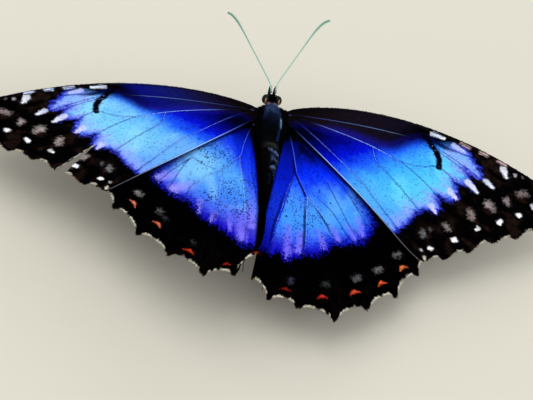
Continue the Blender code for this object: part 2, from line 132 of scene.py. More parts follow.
# ---------------------------------------------------------------- finer sizes, for the surface
SKIN_HALF = 0.07 * MM                  # half the wing membrane's thickness
SKIN_STEPS_PER_BAY = 12
SKIN_STEPS_ALONG = 90
SCALE_ROW = {"upper": 0.27 * MM, "under": 0.34 * MM}
SCALE_WIDTH = {"upper": 0.235 * MM, "under": 0.31 * MM}
SCALE_OVERLAP = 1.65                   # a scale's length over the distance between rows
PATCH = 0.0015                         # half of a tuft's patch on its piece's unwrap
BODY_UNWRAP = 0.92                     # width of the body's unwrap, once round
ABDOMEN_START = -5.2                   # in mm, as the next one
SEGMENT_LENGTH = 1.75
ANTENNA_FINE_RADIUS = 0.17 * MM
CLUB_FINE_RADIUS = 0.27 * MM
ANTENNA_SEGMENTS = 44
PROBOSCIS_RIDGES = 60
EYE_FINENESS = 6
FACET_RISE = 0.012 * MM
FOOT_JOINTS = 5
GROOVE_DEPTH = 0.07 * MM               # between the abdomen's segments
BODY_RINGS = 260
BODY_SIDES = 72
# The coat's depth along the body: (y, depth), in mm, level with the body
COAT_DEPTHS = ((-20.5, 0.02), (-19.5, 0.10), (-4.8, 0.14), (-3.6, 0.30), (3.4, 0.30), (4.6, 0.14),
               (5.6, 0.12), (7.4, 0.06))
# (name, from and to y, how many, length, radius, bend, how far they wander, how far their tint varies), in mm
COATS = (("head_hair", (4.9, 7.5), 5200, (0.30, 0.60), 0.030, (0.25, 0.7), 0.35, 0.25),
         ("thorax_hair", (-4.4, 5.1), 16000, (0.75, 1.30), 0.034, (0.04, 0.20), 0.22, 0.30),
         ("waist_hair", (-5.4, -2.6), 3400, (1.3, 2.1), 0.036, (0.04, 0.14), 0.10, 0.30),
         ("abdomen_hair", (-20.3, -4.3), 16000, (0.50, 0.85), 0.042, (0.03, 0.12), 0.12, 0.30))
ANTENNA_RAMP = ((0.0, "#3C5A58"), (0.06, "#A8CCBC"), (0.5, "#A4C4AE"), (0.72, "#84B09C"), (1.0, "#6C9C86"))
COLLAR_RAMP = ((-3.5, "#030809"), (-1.5, "#050B12"), (0.0, "#0A1224"), (1.2, "#161E3C"), (2.6, "#2A3E6C"),
               (4.0, "#4A6494"))
TUFT_CORNERS = 7
VANE_CORNERS = 6
# A vane's (distance along it, half-width, lift in mm) at its root, middle and tip
VANE_PROFILE = ((0.0, 0.55, 0.004), (0.55, 1.0, 0.050), (1.0, 0.62, 0.075))
VANE_TONE = (0.80, 0.80, 1.0, 1.0, 1.08, 1.08)   # how bright its corners are, from root to tip
CILIA_RADIUS = 0.055 * MM
CILIA_PER_BAY = 80
CILIA_ROWS = 4
SKIN_SHADE = 0.8                       # how bright a skin is beside the coat over it
RIDGE_HAIRS = 3600
LOBE_HAIRS = 1300
FLOOR_GAP = 0.01 * MM                  # how far over the floor a leg's lowest corners are
# How slim a leg is beside its solid: (place, counted in joints from the hip, share)
LEG_SLIM = ((0, 0.80), (0.4, 0.95), (0.95, 0.62), (1.0, 0.50), (1.1, 0.66), (1.95, 0.55), (2.0, 0.48),
            (2.05, 0.62), (4.0, 0.60))
# On the right side, level with the body, in mm: the ridge is (x, y, z, radius)
SHOULDER_RIDGE = ((1.35, 4.3, 0.60, 0.25), (1.80, 3.6, 1.00, 0.52), (2.35, 2.7, 1.40, 0.64),
                  (2.78, 1.4, 1.40, 0.72), (2.95, -0.2, 1.15, 0.76), (2.86, -1.8, 0.80, 0.70),
                  (2.62, -3.2, 0.45, 0.60), (2.38, -4.6, 0.12, 0.48), (2.22, -6.2, -0.12, 0.36),
                  (2.10, -7.6, -0.35, 0.20))
TEGULA_CENTRE = (2.62, 2.05, 1.92)
TEGULA_RADII = (0.42, 0.95, 0.34)
HINGE_KNOBS = {"left": (((4.35, 2.02, 1.98), (0.50, 0.22, 0.15)), ((3.85, -1.20, 1.45), (0.28, 0.34, 0.20))),
               "right": (((3.85, 2.05, 2.06), (0.48, 0.22, 0.15)), ((3.45, -1.35, 1.15), (0.27, 0.32, 0.22)))}

# ---------------------------------------------------------------- camera and floor
CAMERA_LENS = 160.0
CAMERA_TARGET = Vector((0.00183, 0.00107, 0.00131))
CAMERA_AZIMUTH = math.radians(-13.45)  # round the model from straight behind it
CAMERA_ELEVATION = math.radians(49.02)
CAMERA_ROLL = math.radians(18.40)
CAMERA_DISTANCE = 0.5009
FLOOR_HALF = 3.0                       # in metres


# ---------------------------------------------------------------- numbers and noise

def colour(code):
    """A hex colour as linear light."""
    parts = np.array([int(code[k:k + 2], 16) / 255 for k in (1, 3, 5)])
    return np.where(parts <= 0.04045, parts / 12.92, ((parts + 0.055) / 1.055) ** 2.4)


def smooth(low, high, value):
    """Goes from 0 where value is low to 1 where it is high; low may be the larger of the two."""
    t = np.clip((value - low) / (high - low), 0, 1)
    return t * t * (3 - 2 * t)


def band(value, start, full, fade, end):
    """Rises from 0 to 1 between start and full, and falls back between fade and end."""
    return smooth(start, full, value) * smooth(end, fade, value)


def hump(offset, width):
    """A bell curve, 1 where offset is 0."""
    return np.exp(-(offset / width) ** 2)


def lay(base, share, tint):
    """Paints tint, a hex colour or linear light, over base, as much as share says."""
    tint = colour(tint) if isinstance(tint, str) else tint
    return base * (1 - share[:, None]) + tint * share[:, None]


def ramp(value, stops):
    """Colours along value, between stops of (value, hex colour)."""
    places = [stop[0] for stop in stops]
    tints = np.array([colour(stop[1]) for stop in stops])
    return np.stack([np.interp(value, places, tints[:, k]) for k in range(3)], 1)


def lattice(ix, iy, seed):
    n = (ix.astype(np.int64) * 374761393 + iy.astype(np.int64) * 668265263 + seed * 974634777) & 0xFFFFFFFF
    n = ((n ^ (n >> 13)) * 1274126177) & 0xFFFFFFFF
    return ((n ^ (n >> 16)) & 0xFFFFFF) / 0xFFFFFF


def noise(x, y, seed):
    """Smooth noise, 0 to 1, that changes over a distance of about one."""
    ix, iy = np.floor(x), np.floor(y)
    fx, fy = x - ix, y - iy
    fx, fy = fx * fx * (3 - 2 * fx), fy * fy * (3 - 2 * fy)
    low = lattice(ix, iy, seed) * (1 - fx) + lattice(ix + 1, iy, seed) * fx
    high = lattice(ix, iy + 1, seed) * (1 - fx) + lattice(ix + 1, iy + 1, seed) * fx
    return low * (1 - fy) + high * fy


def dots(x, y, size, seed):
    """A value from 0 to 1 for each small cell, so that single scales differ from their neighbours."""
    return lattice(np.floor(x / size), np.floor(y / size), seed)


def rough_noise(x, y, seed):
    """Noise with finer and weaker noise over it, 0 to 1."""
    finer = 0.3 * noise(2.1 * x, 2.1 * y, seed + 1)
    return 0.55 * noise(x, y, seed) + finer + 0.15 * noise(4.3 * x, 4.3 * y, seed + 2)


def segment_distance(x, y, a, b):
    """Distance to the segment from a to b, and how far along it the nearest point is."""
    dx, dy = b[0] - a[0], b[1] - a[1]
    along = np.clip(((x - a[0]) * dx + (y - a[1]) * dy) / (dx * dx + dy * dy), 0, 1)
    return np.hypot(x - a[0] - along * dx, y - a[1] - along * dy), along


def line_distance(x, y, points):
    return np.min([segment_distance(x, y, a, b)[0] for a, b in zip(points, points[1:])], axis=0)


def inside_distance(x, y, corners):
    """Distance to a closed outline, positive inside it."""
    closed = list(corners) + [corners[0]]
    edge = line_distance(x, y, closed)
    inside = np.zeros(len(x), bool)
    for a, b in zip(closed, closed[1:]):
        crosses = (a[1] > y) != (b[1] > y)
        at = a[0] + (y - a[1]) * (b[0] - a[0]) / (b[1] - a[1] if b[1] != a[1] else 1)
        inside ^= crosses & (x < at)
    return np.where(inside, edge, -edge)


# ---------------------------------------------------------------- meshes

class Piece:
    """Collects the corners, faces, paint and unwrap of one piece of the model."""

    def __init__(self):
        self.verts, self.faces, self.paint, self.gloss, self.unwrap, self.count = [], [], [], [], [], 0

    def add(self, verts, faces, paint, gloss=0.0, unwrap=None):
        """faces is a list of index arrays, each of faces with like corner counts."""
        verts = np.asarray(verts, float).reshape(-1, 3)
        number = len(verts)
        self.verts.append(verts)
        self.faces += [np.asarray(block) + self.count for block in faces if len(block)]
        self.paint.append(np.broadcast_to(paint, (number, 3)))
        self.gloss.append(np.broadcast_to(gloss, number))
        if unwrap is not None:
            self.unwrap.append(unwrap)
        self.count += number

    def add_tufts(self, roots, lie, out, length, radius, bend, tint, gloss, unwrap=None):
        """Slender three-sided hairs: from roots, along lie, standing out by bend, and curving back down.

        tint is one colour or one for each hair, and unwrap is the place of each on its skin's unwrap.
        """
        number = len(roots)
        length, radius, bend = (np.broadcast_to(size, number)[:, None] for size in (length, radius, bend))
        side = unit(np.cross(lie, out))
        middle = roots + length * (0.55 * lie + 0.55 * bend * out)
        tip = roots + length * (lie + 0.75 * bend * out)
        verts = []
        for centre, share in ((roots, 1.0), (middle, 0.75)):
            for turn in (0.5, 7 / 6, 11 / 6):
                across = math.cos(turn * math.pi) * side + math.sin(turn * math.pi) * out
                verts.append(centre + share * radius * across)
        verts = np.stack(verts + [tip], 1)
        at = (np.arange(number) * TUFT_CORNERS)[:, None]
        quads = np.concatenate([at + np.array(q) for q in ((3, 4, 1, 0), (4, 5, 2, 1), (5, 3, 0, 2))])
        tris = np.concatenate([at + np.array(t) for t in ((6, 4, 3), (6, 5, 4), (6, 3, 5), (0, 1, 2))])
        tints = np.repeat(np.broadcast_to(tint, (number, 3)), TUFT_CORNERS, axis=0)
        flat = None if unwrap is None else patches(unwrap, TUFT_CORNERS)
        self.add(verts, [quads, tris], tints, gloss, flat)

    def make(self, name, material, slot, place=None, replaces=(), around=0.0):
        """around is the width of the unwrap of a surface that closes on itself."""
        verts = np.concatenate(self.verts)
        flip = False
        if place is not None:
            verts = verts @ place[:3, :3].T + place[:3, 3]
            flip = np.linalg.det(place[:3, :3]) < 0
        blocks = [block[:, ::-1] if flip else block for block in self.faces]
        loops = np.concatenate([block.ravel() for block in blocks])
        sizes = np.concatenate([np.full(len(block), block.shape[1]) for block in blocks])
        starts = np.concatenate([[0], np.cumsum(sizes)[:-1]])
        mesh = bpy.data.meshes.new(name)
        mesh.vertices.add(len(verts))
        mesh.vertices.foreach_set("co", verts.astype(np.float32).ravel())
        mesh.loops.add(len(loops))
        mesh.loops.foreach_set("vertex_index", loops.astype(np.int32))
        mesh.polygons.add(len(sizes))
        mesh.polygons.foreach_set("loop_start", starts.astype(np.int32))
        mesh.update(calc_edges=True)
        mesh.validate()
        tint = np.ones((len(verts), 4), np.float32)
        tint[:, :3] = np.clip(np.concatenate(self.paint), 0, 1)
        mesh.attributes.new("paint", "FLOAT_COLOR", "POINT").data.foreach_set("color", tint.ravel())
        shine = np.concatenate(self.gloss).astype(np.float32)
        mesh.attributes.new("gloss", "FLOAT", "POINT").data.foreach_set("value", shine)
        if self.unwrap:
            flat = np.concatenate(self.unwrap)[loops]
            if around:
                furthest = np.repeat(np.maximum.reduceat(flat[:, 0], starts), sizes)
                flat[:, 0] += around * (furthest - flat[:, 0] > around / 2)
            mesh.uv_layers.new(name="OFBake").data.foreach_set("uv", flat.astype(np.float32).ravel())
        mesh.shade_smooth()
        mesh.materials.append(material)
        made = bpy.data.objects.new(name, mesh)
        bpy.context.scene.collection.objects.link(made)
        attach(made, "root")
        if replaces:
            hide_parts(*replaces)
        return made


def grid_faces(rows, columns, closed=False):
    """Quads over a grid, numbered row by row; closed joins the last column to the first."""
    across = np.arange(columns if closed else columns - 1)
    a = (np.arange(rows - 1)[:, None] * columns + across[None, :]).ravel()
    b = (np.arange(rows - 1)[:, None] * columns + ((across + 1) % columns)[None, :]).ravel()
    return np.stack([a, b, b + columns, a + columns], 1)


def closed_faces(rings, sides):
    """Faces round rings of corners and over both ends, whose two middle corners come last."""
    k = np.arange(sides)
    following = (k + 1) % sides
    end, base = rings * sides, (rings - 1) * sides
    caps = np.concatenate([np.stack([np.full(sides, end), k, following], 1),
                           np.stack([np.full(sides, end + 1), base + following, base + k], 1)])
    return [grid_faces(rings, sides, closed=True)[:, ::-1], caps]


def smooth_path(corners, steps):
    """A Catmull-Rom curve through corners, an array whose first three columns are a place."""
    corners = np.asarray(corners, float)
    last = len(corners) - 1
    points = []
    for i in range(last):
        p0, p1, p2, p3 = (corners[max(0, min(last, i + k))] for k in (-1, 0, 1, 2))
        for k in range(steps):
            t = k / steps
            points.append(0.5 * (2 * p1 + (p2 - p0) * t + (2 * p0 - 5 * p1 + 4 * p2 - p3) * t ** 2
                                 + (3 * p1 - p0 - 3 * p2 + p3) * t ** 3))
    return np.array(points + [corners[-1]])


def unit(vectors):
    return vectors / np.maximum(np.linalg.norm(vectors, axis=-1, keepdims=True), 1e-12)


def tube(points, radii, sides=10, flatten=1.0):
    """A closed tube along points, with rounded ends."""
    points = np.asarray(points, float)
    radii = np.broadcast_to(radii, len(points)).astype(float)
    heading = unit(np.gradient(points, axis=0))
    normal = np.array((0.0, 0.0, 1.0))
    frames = []
    for direction in heading:
        normal = normal - direction * normal.dot(direction)
        if np.linalg.norm(normal) < 1e-6:
            normal = np.cross(direction, (1.0, 0.0, 0.0))
        normal = unit(normal)
        frames.append((normal, np.cross(direction, normal)))
    turn = np.linspace(0, 2 * math.pi, sides, endpoint=False)
    rings = [point + radius * (np.outer(np.cos(turn), side) + flatten * np.outer(np.sin(turn), up))
             for point, radius, (up, side) in zip(points, radii, frames)]
    ends = [points[0] - heading[0] * radii[0] * 0.6, points[-1] + heading[-1] * radii[-1] * 0.6]
    return np.concatenate(rings + [ends]), closed_faces(len(points), sides)


def patches(place, corners):
    """The unwrap of tufts or vanes: a small patch round each one's place."""
    turn = np.linspace(0, 2 * math.pi, corners, endpoint=False)
    around = PATCH * np.stack([np.cos(turn), np.sin(turn)], 1)
    return (place[:, None, :] + around[None]).reshape(-1, 2)


def turned(ways, angle):
    """Directions in a plane, each turned by its own angle."""
    cos, sin = np.cos(angle), np.sin(angle)
    return np.stack([ways[:, 0] * cos - ways[:, 1] * sin, ways[:, 0] * sin + ways[:, 1] * cos], 1)


def along_path(path, at):
    """Places at, counted in points of the path, and the point before each."""
    low = at.astype(int)
    part = (at - low)[:, None]
    return path[low] * (1 - part) + path[low + 1] * part, low


# ---------------------------------------------------------------- materials

def painted(name, roughness, metallic, specular, grain, depth, variation=0.12):
    """A finish whose colour is the piece's own paint; roughness and metallic go from dull to glossy paint."""
    made = bpy.data.materials.new(name)
    made.use_nodes = True
    tree = made.node_tree
    shader = tree.nodes["Principled BSDF"]
    shader.inputs["Specular IOR Level"].default_value = specular

    def add(kind, **settings):
        node = tree.nodes.new("ShaderNode" + kind)
        for socket, value in settings.items():
            node.inputs[socket.replace("_", " ")].default_value = value
        return node

    paint, gloss = add("Attribute"), add("Attribute")
    paint.attribute_name, gloss.attribute_name = "paint", "gloss"
    where = add("TexCoord")
    speckle = add("TexNoise", Scale=grain, Detail=3.0)
    bright = add("MapRange", From_Min=0.3, From_Max=0.7, To_Min=1 - variation, To_Max=1 + variation)
    shade = add("HueSaturation")
    bump = add("Bump", Strength=0.4, Distance=depth)
    joins = [(where, "Object", speckle, "Vector"), (speckle, "Fac", bright, "Value"),
             (paint, "Color", shade, "Color"), (bright, "Result", shade, "Value"),
             (shade, "Color", shader, "Base Color"), (speckle, "Fac", bump, "Height"),
             (bump, "Normal", shader, "Normal")]
    for socket, (dull, shiny) in (("Roughness", roughness), ("Metallic", metallic)):
        spread = add("MapRange", To_Min=dull, To_Max=shiny)
        joins += [(gloss, "Fac", spread, "Value"), (spread, "Result", shader, socket)]
    for source, output, target, entry in joins:
        tree.links.new(source.outputs[output], target.inputs[entry])
    return made


# ---------------------------------------------------------------- wing shape

def polar(angle_deg, radius):
    angle = math.radians(angle_deg)
    return Vector((math.cos(angle), math.sin(angle))) * radius


def unsweep(across, along, sweep):
    return Vector((across * math.cos(sweep) - along * math.sin(sweep),
                   across * math.sin(sweep) + along * math.cos(sweep)))


def body_frame():
    return Matrix.Translation(BODY_CENTRE) @ Matrix.Rotation(BODY_PITCH, 4, "X")


def bow_profile(s, exponents):
    rise, fall = exponents
    peak = rise / (rise + fall)
    inner = np.clip(s, 0, 1)
    return inner ** rise * (1 - inner) ** fall / (peak ** rise * (1 - peak) ** fall)


class Wing:
    """The shape of one wing, as in the solids, for arrays of places."""

    def __init__(self, side, hindwing):
        self.side, self.hindwing = side, hindwing
        self.name = ("hindwing_" if hindwing else "forewing_") + side
        tilt = Matrix.Rotation(-DIHEDRAL[side], 4, "Y") @ Matrix.Rotation(-TRAILING_EDGE_UP[side], 4, "X")
        place = Matrix.Translation(FOREWING_ORIGIN[side]) @ tilt
        if hindwing:
            tips = {**HINDWING_TIPS, **HINDWING_HIND_TIPS[side]}
            origin, sweep = FOREWING_ORIGIN[side] + HINDWING_OFFSET[side], HINDWING_SWEEP
            base_y = WING_BASE_Y["hind"]
            self.front_bow, self.back_bow = HINDWING_COSTA_BOW, -ANAL_BOW[side]
            self.reach, self.back_profile = HINDWING_REACH * LENGTH, ANAL_PROFILE[side]
            hinge = Vector((math.cos(FOREWING_SWEEP), -math.sin(FOREWING_SWEEP), 0))
            place = (place @ Matrix.Translation((0, 0, -HINDWING_DROP))
                     @ Matrix.Rotation(-HINDWING_FOLD[side], 4, hinge)
                     @ Matrix.Translation(HINDWING_OFFSET[side]) @ Matrix.Rotation(-HINDWING_SWEEP, 4, "Z"))
        else:
            tips, origin, sweep = FOREWING_TIPS, FOREWING_ORIGIN[side], FOREWING_SWEEP
            base_y = WING_BASE_Y["fore"]
            self.front_bow, self.back_bow = COSTA_BOW, -FOREWING_INNER_BOW[side]
            self.reach, self.back_profile = LENGTH, FOREWING_INNER_PROFILE[side]
            place = place @ Matrix.Rotation(-FOREWING_SWEEP, 4, "Z")
        self.place = np.array(body_frame() @ Matrix.Scale(SIDES[side], 4, (1, 0, 0)) @ place)
        self.tips = np.array([polar(*tip) * LENGTH for tip in tips.values()])
        self.bays = len(self.tips) - 1
        self.front, self.back = (
            np.array(unsweep(WING_BASE_X - origin.x, base_y + sign * WING_BASE_HALF - origin.y, sweep))
            for sign in (1, -1))

    def edge(self, share):
        at = np.clip(share, 0, 1) * self.bays
        bay = np.minimum(at.astype(int), self.bays - 1)
        t = (at - bay)[..., None]
        point = self.tips[bay] * (1 - t) + self.tips[bay + 1] * t
        depth, lobe, lean = SCALLOPS[self.hindwing]
        hollow = 1 - hump(np.sin(math.pi * t ** lean), lobe)
        return point - unit(point) * depth * LENGTH * hollow

    def flat(self, share, s):
        """The place in the wing's plane at share of the way round its edge and s of the way out."""
        start = self.front * (1 - share[..., None]) + self.back * share[..., None]
        chord = self.edge(share) - start
        across = np.stack([-chord[..., 1], chord[..., 0]], -1)
        bow = (self.front_bow * (1 - share) ** 2 * bow_profile(s, COSTA_PROFILE)
               + self.back_bow * share ** 3 * bow_profile(s, self.back_profile))
        return start + chord * s[..., None] + across * bow[..., None]

    def height(self, x, y):
        r = np.minimum(np.hypot(x, y) / self.reach, 1)
        z = WING_DOME * np.sin(math.pi * r ** DOME_SKEW) - TIP_DROOP * r ** 3 * (self.reach / LENGTH)
        if self.hindwing:
            start, spread = FOLD_CREST[self.side]
            past = np.maximum(((start + spread * (y / LENGTH) ** 2) * LENGTH - x) / FOLD_WIDTH, 0)
            z = z - FOLD_DEPTH[self.side] * past ** 2 / (past + FOLD_EASE)
        return z

    def normal(self, place):
        x, y = place[:, 0], place[:, 1]
        step = 0.05 * MM
        slope_x = (self.height(x + step, y) - self.height(x - step, y)) / (2 * step)
        slope_y = (self.height(x, y + step) - self.height(x, y - step)) / (2 * step)
        return unit(np.stack([-slope_x, -slope_y, np.ones_like(x)], -1))

    def surface(self, place, lift):
        """Places above a place in the wing's plane, on the wing's curved middle or lift above it."""
        x, y = place[:, 0], place[:, 1]
        point = np.stack([x, y, self.height(x, y)], -1)
        return point + self.normal(place) * np.broadcast_to(lift, x.shape)[..., None]

    def unwrap(self, place):
        """The wing's plane, fitted into a square."""
        x, y = place[:, 0], place[:, 1]
        low = -0.72 * LENGTH if self.hindwing else -0.1 * LENGTH
        return np.stack([0.08 + 0.9 * x / LENGTH, 0.04 + 0.9 * (y - low) / LENGTH], -1)

    def slit(self, place):
        """Distance inside the tear, or well outside where the wing has none."""
        if self.hindwing or self.side == "right":
            return np.full(len(place), -1.0)
        return inside_distance(place[:, 0], place[:, 1], self.slit_corners())

    def slit_corners(self):
        tip, mouth = Vector(SLIT_TIP) * LENGTH, Vector(SLIT_MOUTH) * LENGTH
        along = (mouth - tip).normalized()
        across = Vector((-along.y, along.x)) * SLIT_MOUTH_WIDTH / 2
        far, wide = mouth + along * SLIT_RUN_OUT, across * SLIT_WIDENING
        return tip, mouth - across, far - wide, far + wide, mouth + across


# ---------------------------------------------------------------- markings
# Places and widths are in shares of the forewing's length, unless a comment says otherwise.

FORE_BLUE = ((0.03, 0.01), (0.03, -0.05), (0.535, -0.05), (0.522, 0.02), (0.525, 0.06), (0.512, 0.1),
             (0.52, 0.13), (0.55, 0.155), (0.545, 0.18), (0.508, 0.203), (0.545, 0.225), (0.556, 0.25),
             (0.528, 0.278), (0.505, 0.29), (0.53, 0.31), (0.57, 0.328), (0.535, 0.342), (0.488, 0.35),
             (0.535, 0.362), (0.548, 0.378), (0.53, 0.395), (0.49, 0.402), (0.46, 0.413), (0.435, 0.413),
             (0.405, 0.392), (0.385, 0.365), (0.365, 0.335), (0.345, 0.318), (0.325, 0.302), (0.313, 0.27),
             (0.306, 0.235), (0.298, 0.21), (0.27, 0.175), (0.2, 0.135), (0.12, 0.085), (0.05, 0.035))
FORE_HOOK = ((0.325, 0.332), (0.361, 0.324), (0.391, 0.319), (0.411, 0.308), (0.424, 0.295), (0.433, 0.285))
FORE_WEDGE = ((0.330, 0.338), (0.372, 0.350), (0.428, 0.372))   # dark, ahead of the hook
# The blue, by how far out it is
FORE_RAMP = ((0.03, "#020208"), (0.1, "#020236"), (0.16, "#020684"), (0.21, "#0312D2"), (0.26, "#1C58F6"),
             (0.32, "#3CA8FC"), (0.4, "#52C4FA"), (0.46, "#5EB6FA"), (0.51, "#6C98FC"))
# (start, end, half-width, colour)
FORE_SPOTS = (((0.33, 0.361), (0.364, 0.379), 0.0105, "#DCE6FA"),
              ((0.402, 0.388), (0.44, 0.401), 0.01, "#C4CCFF"),
              ((0.562, 0.466), (0.588, 0.452), 0.012, "#EEF0FC"),
              ((0.598, 0.484), (0.601, 0.482), 0.0043, "#A098A0"),
              ((0.618, 0.5), (0.622, 0.498), 0.003, "#6A5650"),
              ((0.56, 0.383), (0.592, 0.383), 0.01, "#E4EAFF"),
              ((0.53, 0.328), (0.574, 0.327), 0.0118, "#E4E6FF"),
              ((0.518, 0.252), (0.552, 0.248), 0.0105, "#DAD6FF"),
              ((0.522, 0.161), (0.548, 0.154), 0.0094, "#D4D0FC"),
              ((0.715, 0.386), (0.712, 0.384), 0.0082, "#F4F2FA"),
              ((0.715, 0.452), (0.722, 0.444), 0.007, "#E8E2F4"),
              ((0.694, 0.316), (0.697, 0.307), 0.008, "#F0F0FA"),
              ((0.67, 0.234), (0.668, 0.223), 0.0072, "#EEECEA"),
              ((0.656, 0.139), (0.653, 0.133), 0.0076, "#F0F0F8"),
              ((0.633, 0.049), (0.629, 0.047), 0.0066, "#F2F0F4"),
              ((0.617, 0.022), (0.618, 0.021), 0.0038, "#B8B4B8"),
              ((0.642, 0.01), (0.65, 0.004), 0.0047, "#EDE6D2"))
# Pale marks just inside the leading edge: (start, end, half-width)
FORE_COSTAL_MARKS = (((0.41, 0.414), (0.44, 0.427), 0.0046), ((0.474, 0.446), (0.492, 0.455), 0.0066),
                     ((0.532, 0.473), (0.556, 0.482), 0.0052))
FORE_COSTAL_TINT = {"left": "#C0CCEC", "right": "#B89C9C"}
FORE_SMUDGES = (((0.66, 0.446), (0.668, 0.462), 0.009, "#8A7C7C"),
                ((0.65, 0.389), (0.662, 0.387), 0.0066, "#A49696"),
                ((0.622, 0.326), (0.65, 0.326), 0.0056, "#A69A9A"),
                ((0.63, 0.336), (0.626, 0.32), 0.0056, "#A09492"),
                ((0.612, 0.255), (0.63, 0.244), 0.0074, "#A0928E"),
                ((0.6, 0.15), (0.614, 0.147), 0.0066, "#9C9090"),
                ((0.574, 0.068), (0.584, 0.062), 0.0066, "#7C7C80"),
                ((0.582, 0.096), (0.584, 0.095), 0.0036, "#6A6668"))
# Each vein's corners, and its radius in mm
FORE_VEINS = {
    "costa": (((-0.004, 0.045), (0.01, 0.07), (0.037, 0.108), (0.094, 0.176), (0.129, 0.22), (0.18, 0.261),
               (0.254, 0.324), (0.324, 0.385), (0.404, 0.43), (0.47, 0.459), (0.535, 0.484), (0.601, 0.505),
               (0.7, 0.538), (0.8, 0.562)),
              0.22),
    "subcosta": (((0.0, 0.036), (0.06, 0.11), (0.15, 0.205), (0.26, 0.3), (0.34, 0.358), (0.395, 0.404)),
                 0.15),
    "radius": (((0.0, 0.03), (0.08, 0.105), (0.18, 0.195), (0.29, 0.285), (0.335, 0.322), (0.4, 0.362),
                (0.48, 0.412), (0.6, 0.468), (0.72, 0.52), (0.815, 0.56)),
               0.17),
    "R3": (((0.335, 0.322), (0.42, 0.378), (0.52, 0.428), (0.64, 0.478), (0.76, 0.524)), 0.12),
    "R5": (((0.52, 0.428), (0.65, 0.466), (0.808, 0.502)), 0.11),
    "M1": (((0.36, 0.326), (0.42, 0.345), (0.52, 0.368), (0.64, 0.388), (0.785, 0.398)), 0.12),
    "M2": (((0.372, 0.318), (0.402, 0.33), (0.48, 0.346), (0.6, 0.343), (0.762, 0.314)), 0.12),
    "M3": (((0.428, 0.288), (0.48, 0.292), (0.56, 0.28), (0.73, 0.236)), 0.13),
    "cubitus": (((0.0, 0.024), (0.06, 0.06), (0.14, 0.105), (0.22, 0.146), (0.29, 0.176), (0.345, 0.196),
                 (0.395, 0.236), (0.428, 0.288)),
                0.17),
    "CuA1": (((0.345, 0.196), (0.42, 0.204), (0.51, 0.203), (0.6, 0.18), (0.712, 0.144)), 0.13),
    "CuA2": (((0.25, 0.158), (0.3, 0.128), (0.35, 0.127), (0.45, 0.121), (0.53, 0.11), (0.684, 0.06)),
             0.13),
    "2A": (((0.0, 0.014), (0.04, 0.025), (0.1, 0.031), (0.2, 0.034), (0.3, 0.035), (0.35, 0.031),
            (0.4, 0.024), (0.5, 0.012), (0.636, 0.002)),
           0.15)}
# Where a vein is pale, a painted highlight: from and to which distance from the root, and how much
FORE_PALE = {
    "2A": (0.05, 0.42, 0.95),
    "cubitus": (0.08, 0.53, 0.9),
    "M3": (0.4, 0.49, 0.7),
    "CuA2": (0.25, 0.4, 0.5),
    "radius": (0.02, 0.36, 0.25),
    "M2": (0.44, 0.56, 0.5)}
# Where the two forewings differ
FORE_BAND = {
    "right": ((0.02, "#0B0708"), (0.12, "#140E16"), (0.3, "#0E0B1C")),
    "left": ((0.02, "#0B0708"), (0.09, "#141030"), (0.16, "#10165C"), (0.24, "#0A0E6C"), (0.32, "#04064C"))}
FORE_AHEAD = {"right": 0.0, "left": 0.02}      # how much nearer to the root the blue brightens
FORE_SMUDGED = {"right": 0.68, "left": 0.95}

HIND_BLUE = {
    "right": ((0.01, -0.03), (-0.02, -0.06), (-0.02, -0.15), (-0.05, -0.3), (-0.05, -0.5), (0.0, -0.507),
              (0.03, -0.5), (0.05, -0.506), (0.065, -0.512), (0.083, -0.498), (0.108, -0.486),
              (0.122, -0.468), (0.15, -0.458), (0.172, -0.442), (0.188, -0.424), (0.2, -0.4),
              (0.228, -0.39), (0.262, -0.376), (0.292, -0.352), (0.303, -0.328), (0.316, -0.3),
              (0.322, -0.262), (0.3, -0.218), (0.25, -0.172), (0.2, -0.128), (0.15, -0.088), (0.11, -0.058),
              (0.07, -0.036)),
    "left": ((0.01, -0.03), (-0.03, -0.06), (-0.03, -0.3), (0.0, -0.5), (0.06, -0.535), (0.085, -0.552),
             (0.11, -0.552), (0.136, -0.53), (0.153, -0.502), (0.178, -0.478), (0.204, -0.462),
             (0.236, -0.43), (0.25, -0.386), (0.272, -0.366), (0.302, -0.345), (0.332, -0.312),
             (0.362, -0.272), (0.352, -0.25), (0.322, -0.214), (0.256, -0.156), (0.204, -0.11),
             (0.15, -0.07), (0.1, -0.04), (0.05, -0.018))}
HIND_RAMP = {
    "right": ((0.02, "#010108"), (0.08, "#02063C"), (0.12, "#0216AC"), (0.17, "#0226EC"), (0.21, "#0E36F6"),
              (0.25, "#2862F8"), (0.29, "#428CFC"), (0.36, "#4298F8"), (0.42, "#386CF4"),
              (0.48, "#2A2EDC")),
    "left": ((0.02, "#02020C"), (0.06, "#030E9C"), (0.1, "#0A30EC"), (0.15, "#2854F6"), (0.2, "#458CF4"),
             (0.26, "#56A6F8"), (0.32, "#4A96F6"), (0.38, "#4082F0"), (0.44, "#4866EA"), (0.5, "#3834CC"))}
# The line past which, towards the body, the blue turns royal
HIND_ANAL_LINE = {
    "right": ((0.044, -0.18), (0.038, -0.23), (0.028, -0.33), (0.016, -0.4), (0.008, -0.52)),
    "left": ((0.084, -0.08), (0.08, -0.2), (0.072, -0.29), (0.066, -0.42), (0.075, -0.52))}
